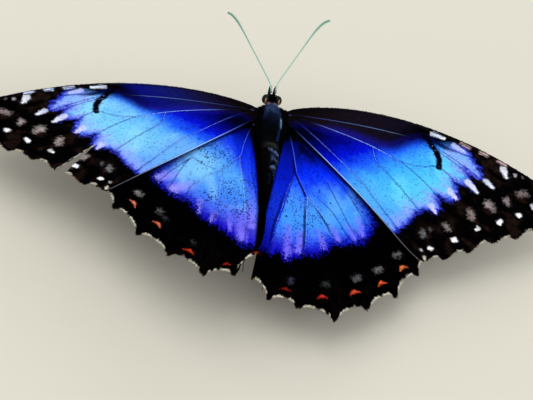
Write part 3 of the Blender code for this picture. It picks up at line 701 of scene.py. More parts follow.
# Distal stripes where the blue turns lilac: (inner end, outer end, half-width)
HIND_LILAC = {
    "right": (((0.052, -0.39), (0.064, -0.51), 0.013), ((0.092, -0.4), (0.096, -0.472), 0.012),
              ((0.15, -0.37), (0.176, -0.43), 0.011), ((0.196, -0.34), (0.216, -0.38), 0.011),
              ((0.24, -0.31), (0.268, -0.35), 0.012), ((0.27, -0.27), (0.29, -0.325), 0.012)),
    "left": (((0.07, -0.38), (0.078, -0.47), 0.014), ((0.105, -0.43), (0.116, -0.53), 0.018),
             ((0.14, -0.43), (0.148, -0.49), 0.008), ((0.225, -0.37), (0.236, -0.42), 0.01),
             ((0.245, -0.3), (0.3, -0.318), 0.022), ((0.285, -0.255), (0.35, -0.268), 0.022),
             ((0.185, -0.42), (0.2, -0.455), 0.009))}
# Red crescents: (one end, other end, height, colour)
HIND_REDS = {
    "right": (((0.426, -0.408), (0.449, -0.38), 0.01, "#F08048"),
              ((0.364, -0.493), (0.391, -0.468), 0.0095, "#EE602C"),
              ((0.279, -0.56), (0.311, -0.537), 0.009, "#E85034"),
              ((0.18, -0.612), (0.213, -0.599), 0.0085, "#CC3026"),
              ((0.06, -0.624), (0.098, -0.62), 0.007, "#8C2018"),
              ((-0.036, -0.53), (-0.02, -0.524), 0.008, "#A02418")),
    "left": (((0.422, -0.398), (0.44, -0.362), 0.0085, "#F08468"),
             ((0.355, -0.485), (0.376, -0.454), 0.0085, "#F07454"),
             ((0.266, -0.59), (0.297, -0.567), 0.0085, "#CC3620"),
             ((0.157, -0.632), (0.188, -0.629), 0.007, "#9C201A"),
             ((0.074, -0.59), (0.086, -0.58), 0.006, "#B03020"))}
HIND_SMUDGES = {
    "right": (((0.408, -0.357), (0.422, -0.346), 0.0056, "#6C6866"),
              ((0.354, -0.442), (0.366, -0.43), 0.0068, "#625E60"),
              ((0.29, -0.5), (0.3, -0.491), 0.0068, "#4C4C4E"),
              ((0.196, -0.558), (0.205, -0.552), 0.0064, "#2C3030"),
              ((0.088, -0.592), (0.09, -0.58), 0.0032, "#3C3A54")),
    "left": (((0.406, -0.346), (0.414, -0.334), 0.0052, "#8C8888"),
             ((0.35, -0.42), (0.356, -0.414), 0.0056, "#565658"),
             ((0.338, -0.45), (0.344, -0.44), 0.0032, "#343438"),
             ((0.264, -0.548), (0.268, -0.54), 0.0028, "#3A3A38"))}
HIND_VEINS = {
    "right": {
        "stem": (((0.004, -0.004), (0.014, -0.02), (0.03, -0.08), (0.045, -0.142), (0.056, -0.176),
                  (0.097, -0.25)),
                 0.18),
        "CuA2": (((0.097, -0.25), (0.101, -0.3), (0.11, -0.38), (0.116, -0.47), (0.11, -0.648)), 0.13),
        "CuA1": (((0.097, -0.25), (0.14, -0.29), (0.17, -0.325), (0.19, -0.355), (0.21, -0.4),
                  (0.232, -0.642)),
                 0.13),
        "M3": (((0.135, -0.245), (0.185, -0.28), (0.235, -0.34), (0.29, -0.41), (0.345, -0.59)), 0.12),
        "M2": (((0.15, -0.16), (0.2, -0.24), (0.262, -0.33), (0.33, -0.4), (0.438, -0.512)), 0.12),
        "M1": (((0.13, -0.1), (0.21, -0.165), (0.29, -0.265), (0.39, -0.35), (0.492, -0.4)), 0.12),
        "Rs": (((0.02, -0.016), (0.11, -0.072), (0.22, -0.15), (0.33, -0.205), (0.5, -0.3)), 0.14),
        "Sc": (((0.01, -0.006), (0.12, -0.045), (0.26, -0.095), (0.48, -0.18)), 0.16),
        "2A": (((0.006, -0.01), (0.04, -0.18), (0.032, -0.23), (0.02, -0.34), (0.01, -0.43),
                (0.008, -0.65)),
               0.13)},
    "left": {
        "stem": (((0.004, -0.004), (0.015, -0.012), (0.05, -0.098), (0.07, -0.155), (0.118, -0.2),
                  (0.152, -0.24)),
                 0.17),
        "CuA2": (((0.07, -0.155), (0.076, -0.2), (0.08, -0.3), (0.09, -0.42), (0.1, -0.5), (0.128, -0.66)),
                 0.13),
        "CuA1": (((0.138, -0.224), (0.146, -0.275), (0.158, -0.33), (0.174, -0.385), (0.2, -0.48),
                  (0.232, -0.642)),
                 0.13),
        "M3": (((0.152, -0.24), (0.19, -0.256), (0.222, -0.285), (0.262, -0.34), (0.345, -0.59)), 0.12),
        "M2": (((0.16, -0.226), (0.2, -0.202), (0.236, -0.182), (0.33, -0.34), (0.438, -0.512)), 0.1),
        "M1": (((0.236, -0.182), (0.3, -0.24), (0.39, -0.33), (0.492, -0.4)), 0.11),
        "Rs": (((0.02, -0.016), (0.11, -0.062), (0.22, -0.14), (0.33, -0.205), (0.5, -0.3)), 0.14),
        "Sc": (((0.01, -0.006), (0.12, -0.045), (0.26, -0.095), (0.48, -0.18)), 0.16),
        "2A": (((0.006, -0.01), (0.04, -0.2), (0.045, -0.33), (0.056, -0.45), (0.085, -0.56),
                (0.15, -0.66)),
               0.12)}}
# Where a hindwing's vein is pale, a painted highlight: from and to which distance from the root, and how much
HIND_PALE = {
    "right": {
        "stem": (0.01, 0.29, 1.0),
        "CuA2": (0.2, 0.48, 0.9),
        "2A": (0.18, 0.48, 0.8),
        "CuA1": (0.2, 0.42, 0.8)},
    "left": {
        "stem": (0.01, 0.29, 1.0),
        "CuA2": (0.1, 0.5, 1.0),
        "CuA1": (0.2, 0.46, 0.8),
        "M3": (0.22, 0.38, 0.8),
        "M2": (0.2, 0.3, 0.4)}}
# The royal blue, by distance from the root
HIND_ROYAL = {
    "right": ((0.03, "#01020A"), (0.1, "#020E8C"), (0.22, "#0416C0"), (0.36, "#0624D8"), (0.45, "#0A10B8"),
              (0.55, "#0A0880")),
    "left": ((0.06, "#020A70"), (0.11, "#0420C0"), (0.16, "#0A2CE8"), (0.28, "#1C44F6"), (0.34, "#4468F2"),
             (0.42, "#6078FA"), (0.52, "#4840D0"))}
# Where else the two hindwings differ
# dim: from and to which bearing, then distance, the blue is taken from nearer to the root, and how much
# pale: the share of a paler tint in the blue, and that tint; royal_edge: half the royal blue's soft edge
# near_fore: how far the forewing's shade reaches, and its strength
# pale_vein_shadow: how dark the painted shadow beside a pale vein is; specks: how many, and from and to which
# x
HIND_LOOK = {
    "right": {
        "dim": (-0.95, -0.7, 0.34, 0.27, 0.03),
        "pale": (0.4, "#6CB8FF"),
        "royal_edge": 0.004,
        "lilac": "#7478FC",
        "near_fore": (0.06, 0.85),
        "pale_vein_shadow": 0.95,
        "specks": (0.2, 0.18, 0.1)},
    "left": {
        "dim": (-0.95, -1.15, 0.3, 0.2, 0.035),
        "pale": (0.6, "#82CCFC"),
        "royal_edge": 0.014,
        "lilac": "#9C98FC",
        "near_fore": (0.024, 0.45),
        "pale_vein_shadow": 0.2,
        "specks": (0.34, 0.26, 0.18)}}
# The underside of a forewing, False, and of a hindwing, True: an eyespot is (x, y, radius)
UNDER_EYES = {
    False: ((0.455, 0.075, 0.022), (0.545, 0.235, 0.026), (0.585, 0.33, 0.02), (0.56, 0.395, 0.012)),
    True: ((0.3, -0.17, 0.034), (0.29, -0.37, 0.024), (0.215, -0.455, 0.026), (0.095, -0.49, 0.018))}
# Rings of an eyespot, from the outermost: (edge in shares of the radius, colour)
UNDER_RINGS = ((1.35, "#241408"), (1.15, "#C8AE78"), (0.92, "#0C0806"), (0.48, "#6A2A18"), (0.22, "#F0ECE0"))
# Lines along the edge: (share of the way out, half-width, colour)
UNDER_LINES = ((0.955, 0.01, "#C9B48C"), (0.915, 0.012, "#6E3A1E"), (0.885, 0.006, "#B89C70"),
               (0.42, 0.016, "#8E7450"), (0.26, 0.012, "#8E7450"))
UNDER_BROWN = ((0.2, "#2C1C10"), (0.5, "#3E2A18"), (0.8, "#553C22"))
# The pale veins of a forewing, False, and of a hindwing, True, painted as a highlight, and the forewing's
# inner rim
VEIN_PALE = {
    False: ((0.06, "#282860"), (0.12, "#4A56B0"), (0.2, "#6C8CE8"), (0.3, "#90BCFA"), (0.45, "#98BCFC")),
    True: ((0.05, "#28389C"), (0.16, "#4C6CEC"), (0.24, "#88A8FF"), (0.34, "#B0D0FF"), (0.5, "#A4B4FF"))}
RIM_RAMP = ((0.06, "#0A0E34"), (0.12, "#3C58B8"), (0.18, "#7C9CE8"), (0.3, "#A0C4F4"), (0.4, "#8C9CC4"),
            (0.5, "#646878"), (0.6, "#4E4E58"))


def fan(x, y, fineness, length, seed):
    """Streaks that fan out from the wing's root, as the scales do."""
    return noise(np.arctan2(y, x) * fineness, np.hypot(x, y) / length, seed)


def ground(x, y, seed):
    """Near black, with brown mottling towards the wing's edge."""
    rgb = np.broadcast_to(colour("#030203"), (len(x), 3)).copy()
    streaked = 0.55 * rough_noise(x / 0.026, y / 0.020, seed) + 0.45 * fan(x, y, 42, 0.04, seed + 5)
    patchy = smooth(0.47, 0.70, streaked)
    outer = smooth(0.50, 0.66, np.hypot(x, y))
    fleck = noise(x / 0.0050, y / 0.0050, seed + 7)
    return lay(rgb, patchy * outer * (0.12 + 0.55 * fleck), "#281B15")


def spots(rgb, gloss, x, y, marks, ragged, softness, seed, comet=0.0, strength=1.0):
    """Marks along short segments; comet narrows them and strengthens them towards their outer end."""
    edge = ragged * (rough_noise(x / 0.006, y / 0.006, seed) - 0.5)
    grain = noise(x / 0.0036, y / 0.0036, seed + 3) - 0.5
    for start, end, half, tint in marks:
        distance, along = segment_distance(x, y, start, end)
        long = comet * (math.dist(start, end) > 1.5 * half)
        width = half * (1 - 0.55 * long * along)
        share = smooth(softness, -softness, distance - width + edge + softness * grain)
        share = share * strength * (1 - long * 0.35 * (1 - along))
        rgb = lay(rgb, share, tint)
        gloss = gloss * (1 - 0.7 * share)
    return rgb, gloss


def crescents(rgb, gloss, x, y, marks):
    """Low arches across the wing, their backs towards its root: (one end, other end, height, colour)."""
    rough = 0.35 * (noise(x / 0.004, y / 0.004, 161) - 0.5)
    for start, end, height, tint in marks:
        middle, half = (np.array(start) + end) / 2, math.dist(start, end) / 2
        across = (np.array(end) - start) / (2 * half)
        inward = np.array((-across[1], across[0]))
        inward = inward if inward.dot(middle) < 0 else -inward
        u = ((x - middle[0]) * across[0] + (y - middle[1]) * across[1]) / half
        v = ((x - middle[0]) * inward[0] + (y - middle[1]) * inward[1]) / height
        top = 1.35 * np.maximum(1 - np.abs(u) ** 1.3, 0) - 0.45
        bottom = 0.35 * (1 - u * u) - 0.70
        share = smooth(-0.22, 0.22, np.minimum(top - v, v - bottom) + rough) * (np.abs(u) < 1.05)
        rgb = lay(rgb, share, colour(tint) * np.clip(0.65 + 0.40 * v, 0.45, 1.05)[:, None])
        gloss = gloss * (1 - 0.7 * share)
    return rgb, gloss


def vein_shade(rgb, x, y, veins, width, tint, share, pale, line):
    """Darkens the scales at the veins as share says, and paints a shadow beside the pale veins as line says.
    """
    for name, (points, _) in veins.items():
        path = smooth_path(points, 4)
        near = smooth(width, width * 0.3, line_distance(x, y, path)) * 0.6
        if name in pale:
            start, end, strength = pale[name]
            # a painted shadow beside each pale vein, on the side towards the body
            beside = smooth(0.0055, 0.0030, line_distance(x + 0.0065, y, path))
            away = np.hypot(x, y)
            where = band(away, start + 0.06, start + 0.14, end - 0.04, end + 0.02)
            rgb = lay(rgb, beside * where * share * strength * line, tint * 0.4)
            near = near * (1 - 0.85 * where)
        rgb = lay(rgb, near * share, tint)
    return rgb


def forewing_upper(x, y, side):
    """Blue with a ragged outer edge, below a dark leading band and in a black border with white marks."""
    rgb = ground(x, y, 3)
    streaks = fan(x, y, 60, 0.05, 21)
    fine = rough_noise(x / 0.010, y / 0.006, 31)
    grain = noise(x / 0.0036, y / 0.0036, 33) - 0.5
    light = noise(x / 0.05, y / 0.03, 41)
    distal = smooth(0.36, 0.46, x)
    depth = inside_distance(x, y, FORE_BLUE)
    depth = depth + distal * (0.012 * (streaks - 0.5) + 0.014 * (fine - 0.5))
    depth = depth + (0.006 + 0.008 * distal) * grain
    reach = x - 0.22 * y + 0.03 * (fine - 0.5) + 0.02 * (light - 0.5) + FORE_AHEAD[side]
    # the leading band, and violet where it meets the blue
    costal = smooth(0.33, 0.27, x + 0.1 * y) * smooth(-0.03, 0.0, -depth)
    rgb = lay(rgb, costal, ramp(x, FORE_BAND[side]) * (0.7 + 0.6 * fine)[:, None])
    violet = smooth(0.030, 0.0, np.abs(depth + 0.012)) * smooth(0.08, 0.16, x) * smooth(0.33, 0.26, x)
    rgb = lay(rgb, violet * 0.5, "#1A1690")
    # the blue
    blue = ramp(reach, FORE_RAMP)
    blue = lay(blue, smooth(0.35, 0.8, light) * smooth(0.29, 0.36, reach) * 0.35, "#74DCFF")
    if side == "left":
        blue = lay(blue, smooth(0.26, 0.34, reach) * (0.25 + 0.25 * light), "#A4D4FA")
    blue = lay(blue, smooth(0.10, 0.02, y) * smooth(0.24, 0.30, x) * 0.45, "#3C80F8")
    rim = distal * smooth(0.070, 0.020, depth) * smooth(0.30, 0.70, streaks * 0.6 + light * 0.4)
    blue = lay(blue, rim * 0.75, "#8C9CFF")
    blue = lay(blue, smooth(0.375, 0.42, x) * smooth(0.322, 0.350, y) * (0.6 + 0.3 * light), "#92A6FC")
    blue = lay(blue, smooth(0.026, 0.002, depth) * (0.35 + 0.55 * distal), "#100CC4")
    root_dark = smooth(0.16, 0.06, x + 2.0 * np.maximum(y - 0.05, 0))
    blue = lay(blue, root_dark * 0.75, "#02020E")
    soft = 0.007 + 0.013 * (1 - distal)
    share = smooth(-soft, soft, depth)
    rgb = lay(rgb, share, blue)
    gloss = share * smooth(0.05, 0.2, reach)
    # what lies over it
    rgb = vein_shade(rgb, x, y, FORE_VEINS, 0.0038, colour("#041090"), share, {}, 0.0)
    wedge = smooth(0.0110, 0.0040, line_distance(x, y, FORE_WEDGE)) * smooth(0.440, 0.380, x)
    rgb = lay(rgb, wedge * 0.9, "#04083C")
    hook = smooth(0.0120, 0.0080, line_distance(x, y, FORE_HOOK) + 0.004 * (fine - 0.5))
    rgb = lay(rgb, hook, "#040310")
    rgb = lay(rgb, smooth(0.0035, 0.001, np.hypot(x - 0.362, y - 0.326)), "#8C78C0")
    rgb, gloss = spots(rgb, gloss, x, y, FORE_SMUDGES, 0.020, 0.0095, 51, strength=FORE_SMUDGED[side])
    rgb, gloss = spots(rgb, gloss, x, y, FORE_SPOTS, 0.008, 0.0026, 61, comet=1.0)
    costal_marks = [mark + (FORE_COSTAL_TINT[side],) for mark in FORE_COSTAL_MARKS]
    rgb, gloss = spots(rgb, gloss, x, y, costal_marks, 0.006, 0.0030, 67)
    crowd = 0.10 * noise(x / 0.06, y / 0.06, 73)
    specks = (dots(x, y, 0.0036, 71) > 0.97 - crowd) * share
    return lay(rgb, specks * 0.55, rgb * 0.2), gloss


def hindwing_upper(x, y, side):
    """Blue, lilac outwards and royal blue towards the body, in a black border with red crescents."""
    look = HIND_LOOK[side]
    rgb = ground(x, y, 103) * 0.15 + colour("#010102") * 0.85
    distance = np.hypot(x, y)
    bearing = np.arctan2(y, x)
    streaks = fan(x, y, 70, 0.06, 121)
    fine = rough_noise(x / 0.008, y / 0.010, 131)
    grain = dots(x, y, 0.0034, 133) - 0.5
    light = noise(x / 0.03, y / 0.05, 141)
    front = smooth(-0.68, -0.50, bearing)
    depth = inside_distance(x, y, HIND_BLUE[side])
    ragged = smooth(0.25, 0.35, distance) * (1 - front)
    depth = depth + ragged * (0.014 * (streaks - 0.5) + 0.014 * (fine - 0.5))
    depth = depth + (0.008 + 0.016 * ragged) * grain
    reach = distance + 0.05 * (fine - 0.5) + 0.03 * (streaks - 0.5) + 0.03 * (light - 0.5)
    aside, towards, far, near, dimmer = look["dim"]
    reach = reach - dimmer * smooth(aside, towards, bearing) * smooth(far, near, distance)
    # the blue
    blue = ramp(reach, HIND_RAMP[side])
    if side == "left":
        middle = band(distance, 0.20, 0.27, 0.34, 0.42)
        blue = lay(blue, smooth(-1.05, -0.80, bearing) * middle * 0.6, "#8CD4FC")
    pale = smooth(0.4, 0.9, light) * smooth(0.22, 0.30, distance) * smooth(0.46, 0.36, distance)
    pale_share, pale_tint = look["pale"]
    blue = lay(blue, pale * pale_share, pale_tint)
    edge = smooth(0.052, 0.006, depth) * smooth(0.24, 0.36, distance)
    blue = lay(blue, edge * 0.9, "#0E04C0")
    line = np.array(HIND_ANAL_LINE[side])
    soft = look["royal_edge"]
    towards_body = smooth(soft, -soft, x - np.interp(-y, -line[:, 1], line[:, 0]))
    blue = lay(blue, towards_body * 0.95, ramp(distance, HIND_ROYAL[side]))
    for start, end, half in HIND_LILAC[side]:
        away, along = segment_distance(x, y, start, end)
        inside = smooth(0.0, 0.016, depth) * (0.35 + 0.55 * along)
        stripe = smooth(half * 1.5, half * 0.2, away + 0.012 * (fine - 0.5))
        blue = lay(blue, stripe * inside, ramp(x, ((0.15, "#8478FC"), (0.26, look["lilac"]))))
    # the fold by the body: black, its own colour and painted shade; on the left a painted shade stripe beside
    # it
    crest, spread = FOLD_CREST[side]
    flat = x - crest - spread * y * y
    if side == "left":
        beside = smooth(0.026, 0.010, flat) * smooth(0.06, 0.14, distance)
        blue = blue * (1 - beside[:, None] * (0.85, 0.65, 0.22) * smooth(0.40, 0.30, distance)[:, None])
    # painted shadow of the forewing over the hindwing's front, partly the hindwing's own dark colour there
    shaded, strength = look["near_fore"]
    near_fore = smooth(shaded, shaded * 0.2, depth) * front
    blue = lay(blue, near_fore * strength, "#01044C")
    soft = 0.006 + 0.014 * front + 0.004 * ragged
    share = smooth(-soft, soft, depth) * smooth(-0.004, 0.005, flat - FOLD_EDGE[side] + 0.004 * (fine - 0.5))
    rgb = lay(rgb, share, blue)
    gloss = share * smooth(0.04, 0.12, distance)
    # what lies over it
    rgb = vein_shade(rgb, x, y, HIND_VEINS[side], 0.0036, colour("#030C84"), share, HIND_PALE[side],
                     look["pale_vein_shadow"])
    rgb, gloss = spots(rgb, gloss, x, y, HIND_SMUDGES[side], 0.020, 0.009, 151)
    rgb, gloss = crescents(rgb, gloss, x, y, HIND_REDS[side])
    # scattered dark scales, most of them on the left wing
    zone = band(distance, 0.12, 0.20, 0.44, 0.54) * share
    many, outer, inner = look["specks"]
    crowd = many * noise(x / 0.05, y / 0.05, 173) ** 1.5 * smooth(outer, inner, x)
    specks = dots(x, y, 0.0036, 171) > 0.99 - crowd
    return lay(rgb, specks * zone * 0.8, "#06125C"), gloss


def underside(x, y, hindwing):
    """Brown, with paler lines along the edge and ringed eyespots."""
    seed = 303 if hindwing else 203
    distance = np.hypot(x, y)
    bearing = np.arctan2(y, x)
    edge = distance / (0.68 if hindwing else np.interp(bearing, (0, 0.2, 0.4, 0.6), (0.66, 0.71, 0.82, 1.0)))
    rgb = ramp(rough_noise(x / 0.05, y / 0.05, seed), UNDER_BROWN)
    wave = edge + 0.012 * np.sin(bearing * 26)
    for at, half, tint in UNDER_LINES:
        rgb = lay(rgb, smooth(half, half * 0.4, np.abs(wave - at)) * 0.85, tint)
    for cx, cy, radius in UNDER_EYES[hindwing]:
        away = np.hypot(x - cx, y - cy) / radius + 0.06 * (noise(x / 0.01, y / 0.01, seed + 9) - 0.5)
        for at, tint in UNDER_RINGS:
            rgb = lay(rgb, smooth(at + 0.05, at - 0.05, away), tint)
    shadow = fan(x, y, 50, 0.04, seed + 3)
    rgb = rgb * (0.85 + 0.3 * shadow[:, None])
    return lay(rgb, smooth(0.11, 0.05, distance), "#060404"), np.zeros(len(x))


def wing_paint(wing, place, upper):
    """Colours and gloss of one face of a wing."""
    u, v = place[:, 0] / LENGTH, place[:, 1] / LENGTH
    if not upper:
        return underside(u, v, wing.hindwing)
    return hindwing_upper(u, v, wing.side) if wing.hindwing else forewing_upper(u, v, wing.side)


# ---------------------------------------------------------------- wing pieces

def wing_skin(wing):
    """The membrane: a thin closed sheet inside the solid, under its scales."""
    rows, columns = wing.bays * SKIN_STEPS_PER_BAY + 1, SKIN_STEPS_ALONG + 1
    share, s = np.meshgrid(np.linspace(0, 1, rows), np.linspace(0, 1, columns), indexing="ij")
    flat = wing.flat(share.ravel(), s.ravel())
    quads = grid_faces(rows, columns)
    shift = rows * columns
    ring = np.concatenate([np.arange(columns), np.arange(1, rows) * columns + columns - 1,
                           (rows - 1) * columns + np.arange(columns - 2, -1, -1),
                           np.arange(rows - 2, 0, -1) * columns])
    following = np.roll(ring, -1)
    rim = np.stack([ring, following, following + shift, ring + shift], 1)
    verts = np.concatenate([wing.surface(flat, SKIN_HALF), wing.surface(flat, -SKIN_HALF)])
    top, shine = wing_paint(wing, flat, True)
    under, _ = wing_paint(wing, flat, False)
    unwrap = wing.unwrap(flat)
    halves = np.concatenate([unwrap * (0.48, 1), unwrap * (0.48, 1) + (0.52, 0)])
    # the grid runs from the front edge backwards, so its faces point down until they are turned over
    piece = Piece()
    piece.add(verts, [quads[:, ::-1], quads + shift, rim], np.concatenate([top, under]) * SKIN_SHADE,
              np.concatenate([shine, shine * 0]), halves)
    return piece


def cut_slit(skin, wing):
    """Cuts the tear out of the membrane, with a closed prism over the tear's corners."""
    corners = np.array(wing.slit_corners())
    sides = len(corners)
    flat = np.concatenate([np.column_stack([corners, np.full(sides, z)])
                           for z in (-SLIT_HALF_DEPTH, SLIT_HALF_DEPTH)])
    verts = flat @ wing.place[:3, :3].T + wing.place[:3, 3]
    mesh = bpy.data.meshes.new("slit")
    faces = [tuple(range(sides)), tuple(range(2 * sides - 1, sides - 1, -1))]
    faces += [(k, k + sides, (k + 1) % sides + sides, (k + 1) % sides) for k in range(sides)]
    mesh.from_pydata([tuple(v) for v in verts], [], faces)
    build = bmesh.new()
    build.from_mesh(mesh)
    bmesh.ops.recalc_face_normals(build, faces=build.faces)
    build.to_mesh(mesh)
    build.free()
    cutter = bpy.data.objects.new("slit", mesh)
    bpy.context.scene.collection.objects.link(cutter)
    cut = skin.modifiers.new("slit", "BOOLEAN")
    cut.object = cutter
    made = bpy.data.meshes.new_from_object(skin.evaluated_get(bpy.context.evaluated_depsgraph_get()))
    skin.modifiers.clear()
    skin.data = made
    bpy.data.objects.remove(cutter)


def scale_roots(wing, row, width):
    """Roots of the scales in rows round the wing's root: share and s for each."""
    shares = np.linspace(0, 1, 700)
    base = wing.front * (1 - shares[:, None]) + wing.back * shares[:, None]
    reach = np.linalg.norm(wing.edge(shares) - base, axis=1)
    found = []
    for k in range(int(reach.max() / row) + 1):
        distance = (k + 0.2) * row
        points = wing.flat(shares, distance / reach)
        arc = np.concatenate([[0], np.cumsum(np.linalg.norm(np.diff(points, axis=0), axis=1))])
        count = int(arc[-1] / width)
        if count < 1:
            continue
        at = (np.arange(count) + 0.25 + 0.5 * (k % 2) + rng.uniform(-0.22, 0.22, count)) * width
        share = np.interp(at, arc, shares)
        s = (distance + rng.uniform(-0.2, 0.2, count) * row) / np.interp(share, shares, reach)
        keep = (s < 0.998) & (s > 0)
        found.append(np.stack([share[keep], s[keep]], 1))
    return np.concatenate(found).T


def wing_scales(wing, upper):
    """Overlapping vanes in rows, one colour each, that lie along the wing towards its edge."""
    kind = "upper" if upper else "under"
    row, width = SCALE_ROW[kind], SCALE_WIDTH[kind]
    share, s = scale_roots(wing, row, width)
    root = wing.flat(share, s)
    ahead = unit(wing.flat(share, np.minimum(s + 0.004, 1.2)) - root)
    length = row * SCALE_OVERLAP * rng.uniform(0.88, 1.15, len(s))
    centre = root + ahead * length[:, None] * 0.6
    keep = wing.slit(centre) < 0
    root, ahead, length, centre = root[keep], ahead[keep], length[keep], centre[keep]
    number = len(root)
    lie = turned(ahead, rng.normal(0, 0.10, number))
    across = np.stack([-lie[:, 1], lie[:, 0]], 1)
    broad = width * rng.uniform(0.50, 0.62, number)
    tilt = rng.normal(0, 0.012 * MM, number)
    sign = 1 if upper else -1
    verts = []
    for along, half, lift in VANE_PROFILE:
        for hand in (-1, 1):
            flat = root + lie * (length * along)[:, None] + across * (hand * half * broad)[:, None]
            raised = SKIN_HALF + lift * MM + along * np.abs(tilt) + hand * tilt * 0.5 * half
            verts.append(wing.surface(flat, sign * raised))
    verts = np.stack(verts, 1).reshape(-1, 3)
    at = (np.arange(number) * VANE_CORNERS)[:, None]
    quads = np.concatenate([at + np.array((0, 2, 3, 1)), at + np.array((2, 4, 5, 3))])
    if not upper:
        quads = quads[:, ::-1]
    paint, gloss = wing_paint(wing, centre, upper)
    paint = paint * rng.uniform(0.86, 1.12, number)[:, None]
    tint = (paint[:, None, :] * np.array(VANE_TONE)[None, :, None]).reshape(-1, 3)
    piece = Piece()
    piece.add(verts, [quads], tint, np.repeat(gloss, VANE_CORNERS), patches(wing.unwrap(root), VANE_CORNERS))
    return piece


def vein_tint(wing, name, place, paint):
    """Veins are pale over part of the blue, a painted highlight, and elsewhere a darker tone of the scales
    beside them.
    """
    if name == "costa":
        return np.broadcast_to(colour("#05070C"), paint.shape)
    tint = paint * 0.55
    pale = (HIND_PALE[wing.side] if wing.hindwing else FORE_PALE).get(name)
    if pale is not None:
        start, end, strength = pale
        where = np.hypot(place[:, 0] / LENGTH, place[:, 1] / LENGTH)
        share = band(where, start, start + 0.06, end - 0.03, end + 0.05)
        tint = lay(tint, share * strength, ramp(where, VEIN_PALE[wing.hindwing]))
    return tint


def wing_veins(wing):
    """Raised tubes that follow the wing's surface."""
    veins = HIND_VEINS[wing.side] if wing.hindwing else FORE_VEINS
    piece = Piece()
    for name, (corners, radius) in veins.items():
        path = smooth_path(corners, 7) * LENGTH
        if name == "costa":
            path = wing.flat(np.full(60, 0.016), np.linspace(0.0, 0.985, 60))
        path = path[wing.slit(path) < 0.3 * MM]
        centre = wing.surface(path, 0.02 * MM)
        along = np.linspace(0, 1, len(path))
        verts, faces = tube(centre, radius * MM * (1 - 0.45 * along), sides=8)
        paint, _ = wing_paint(wing, verts, True)
        tint = vein_tint(wing, name, verts, paint)
        under, _ = wing_paint(wing, verts, False)
        below = verts[:, 2] < wing.height(verts[:, 0], verts[:, 1])
        tint = np.where(below[:, None], under * 0.7 + colour("#8C7450") * 0.15, tint)
        piece.add(verts, faces, tint, 0.3)
    return piece


def inner_rim(wing, piece):
    """The bright rolled edge along the forewing's inner margin."""
    s = np.linspace(0.06, 0.985, 70)
    flat = wing.flat(np.ones(len(s)), s)
    centre = wing.surface(flat, 0.05 * MM)
    verts, faces = tube(centre, 0.115 * MM * (1 - 0.3 * s), sides=8)
    piece.add(verts, faces, ramp(verts[:, 0] / LENGTH, RIM_RAMP), 0.3)


def fringe(wing):
    """Short cilia along the outer edge, cream in the bays between the veins' ends and dark at the lobes."""
    places = wing.bays * CILIA_PER_BAY
    share = (np.arange(places) + 0.5) / CILIA_PER_BAY / wing.bays
    number = places * CILIA_ROWS
    share = np.tile(share, CILIA_ROWS) + rng.uniform(-0.4, 0.4, number) / CILIA_PER_BAY / wing.bays
    share = np.clip(share, 0, 1)
    s = np.full(number, 0.995)
    root = wing.flat(share, s)
    ahead = unit(wing.flat(share, s + 0.02) - root)
    t = (share * wing.bays) % 1
    lie = turned(ahead, rng.normal(0, 0.18, number) - 0.5 * (t - 0.5))
    bay = band(t, 0.04, 0.09, 0.31, 0.36)
    if wing.hindwing:
        bay = np.maximum(bay, band(t, 0.44, 0.49, 0.78, 0.84))
    length = (0.22 + 0.58 * bay) * MM * rng.uniform(0.8, 1.2, number)
    keep = (wing.slit(root) < 0) & (share < 0.999)
    root, lie, length, bay, number = root[keep], lie[keep], length[keep], bay[keep], int(keep.sum())
    base = wing.surface(root, rng.uniform(-0.06, 0.06, number) * MM)
    lie = unit(np.column_stack([lie, rng.normal(0, 0.10, number)]))
    bend = rng.normal(0, 0.05, number)
    patch = noise(root[:, 0] / MM * 0.7, root[:, 1] / MM * 0.7, 77)
    cream = bay * smooth(0.12, 0.22, patch) * (1.0 if wing.hindwing else 0.85)
    tint = lay(np.broadcast_to(colour("#0B0808"), (number, 3)), cream, "#F2EAD6")
    piece = Piece()
    piece.add_tufts(base, lie, wing.normal(root), length, CILIA_RADIUS, bend, tint, 0.0, wing.unwrap(root))
    return piece


def make_wings(scale_finish, skin_finish, vein_finish):
    for side in SIDES:
        for hindwing in (False, True):
            wing = Wing(side, hindwing)
            skin = wing_skin(wing).make(wing.name + "_skin", skin_finish, "wing", wing.place, (wing.name,))
            if side == "left" and not hindwing:
                cut_slit(skin, wing)
            for upper, layer in ((True, "_scales_upper"), (False, "_scales_under")):
                wing_scales(wing, upper).make(wing.name + layer, scale_finish, "wing", wing.place)
            veins = wing_veins(wing)
            if not hindwing:
                inner_rim(wing, veins)
            veins.make(wing.name + "_veins", vein_finish, "wing", wing.place)
            fringe(wing).make(wing.name + "_fringe", scale_finish, "wing", wing.place)


# ---------------------------------------------------------------- body shape

class Body:
    """The surface of head, neck, thorax and abdomen as one, by place along it and angle round it."""

    def __init__(self):
        self.rings = smooth_path(BODY_STATIONS, 8)[::-1] * MM
        self.tail, self.nose = self.rings[0, 0], self.rings[-1, 0]

    def ring(self, y):
        return (np.interp(y, self.rings[:, 0], self.rings[:, k]) for k in range(1, 5))

    def point(self, y, angle):
        centre, half, rise, drop = self.ring(y)
        height = np.where(np.sin(angle) > 0, rise, drop)
        return np.stack([half * np.cos(angle), y, centre + height * np.sin(angle)], -1)

    def normal(self, y, angle):
        along = self.point(y + 0.05 * MM, angle) - self.point(y - 0.05 * MM, angle)
        around = self.point(y, angle + 0.01) - self.point(y, angle - 0.01)
        return unit(np.cross(along, around))

    def surface(self, y, angle, lift):
        return self.point(y, angle) + self.normal(y, angle) * np.broadcast_to(lift, y.shape)[..., None]

    def unwrap(self, y, angle):
        share = (y - self.tail) / (self.nose - self.tail)
        return np.stack([0.03 + BODY_UNWRAP * (angle / (2 * math.pi) % 1), 0.03 + 0.94 * share], -1)


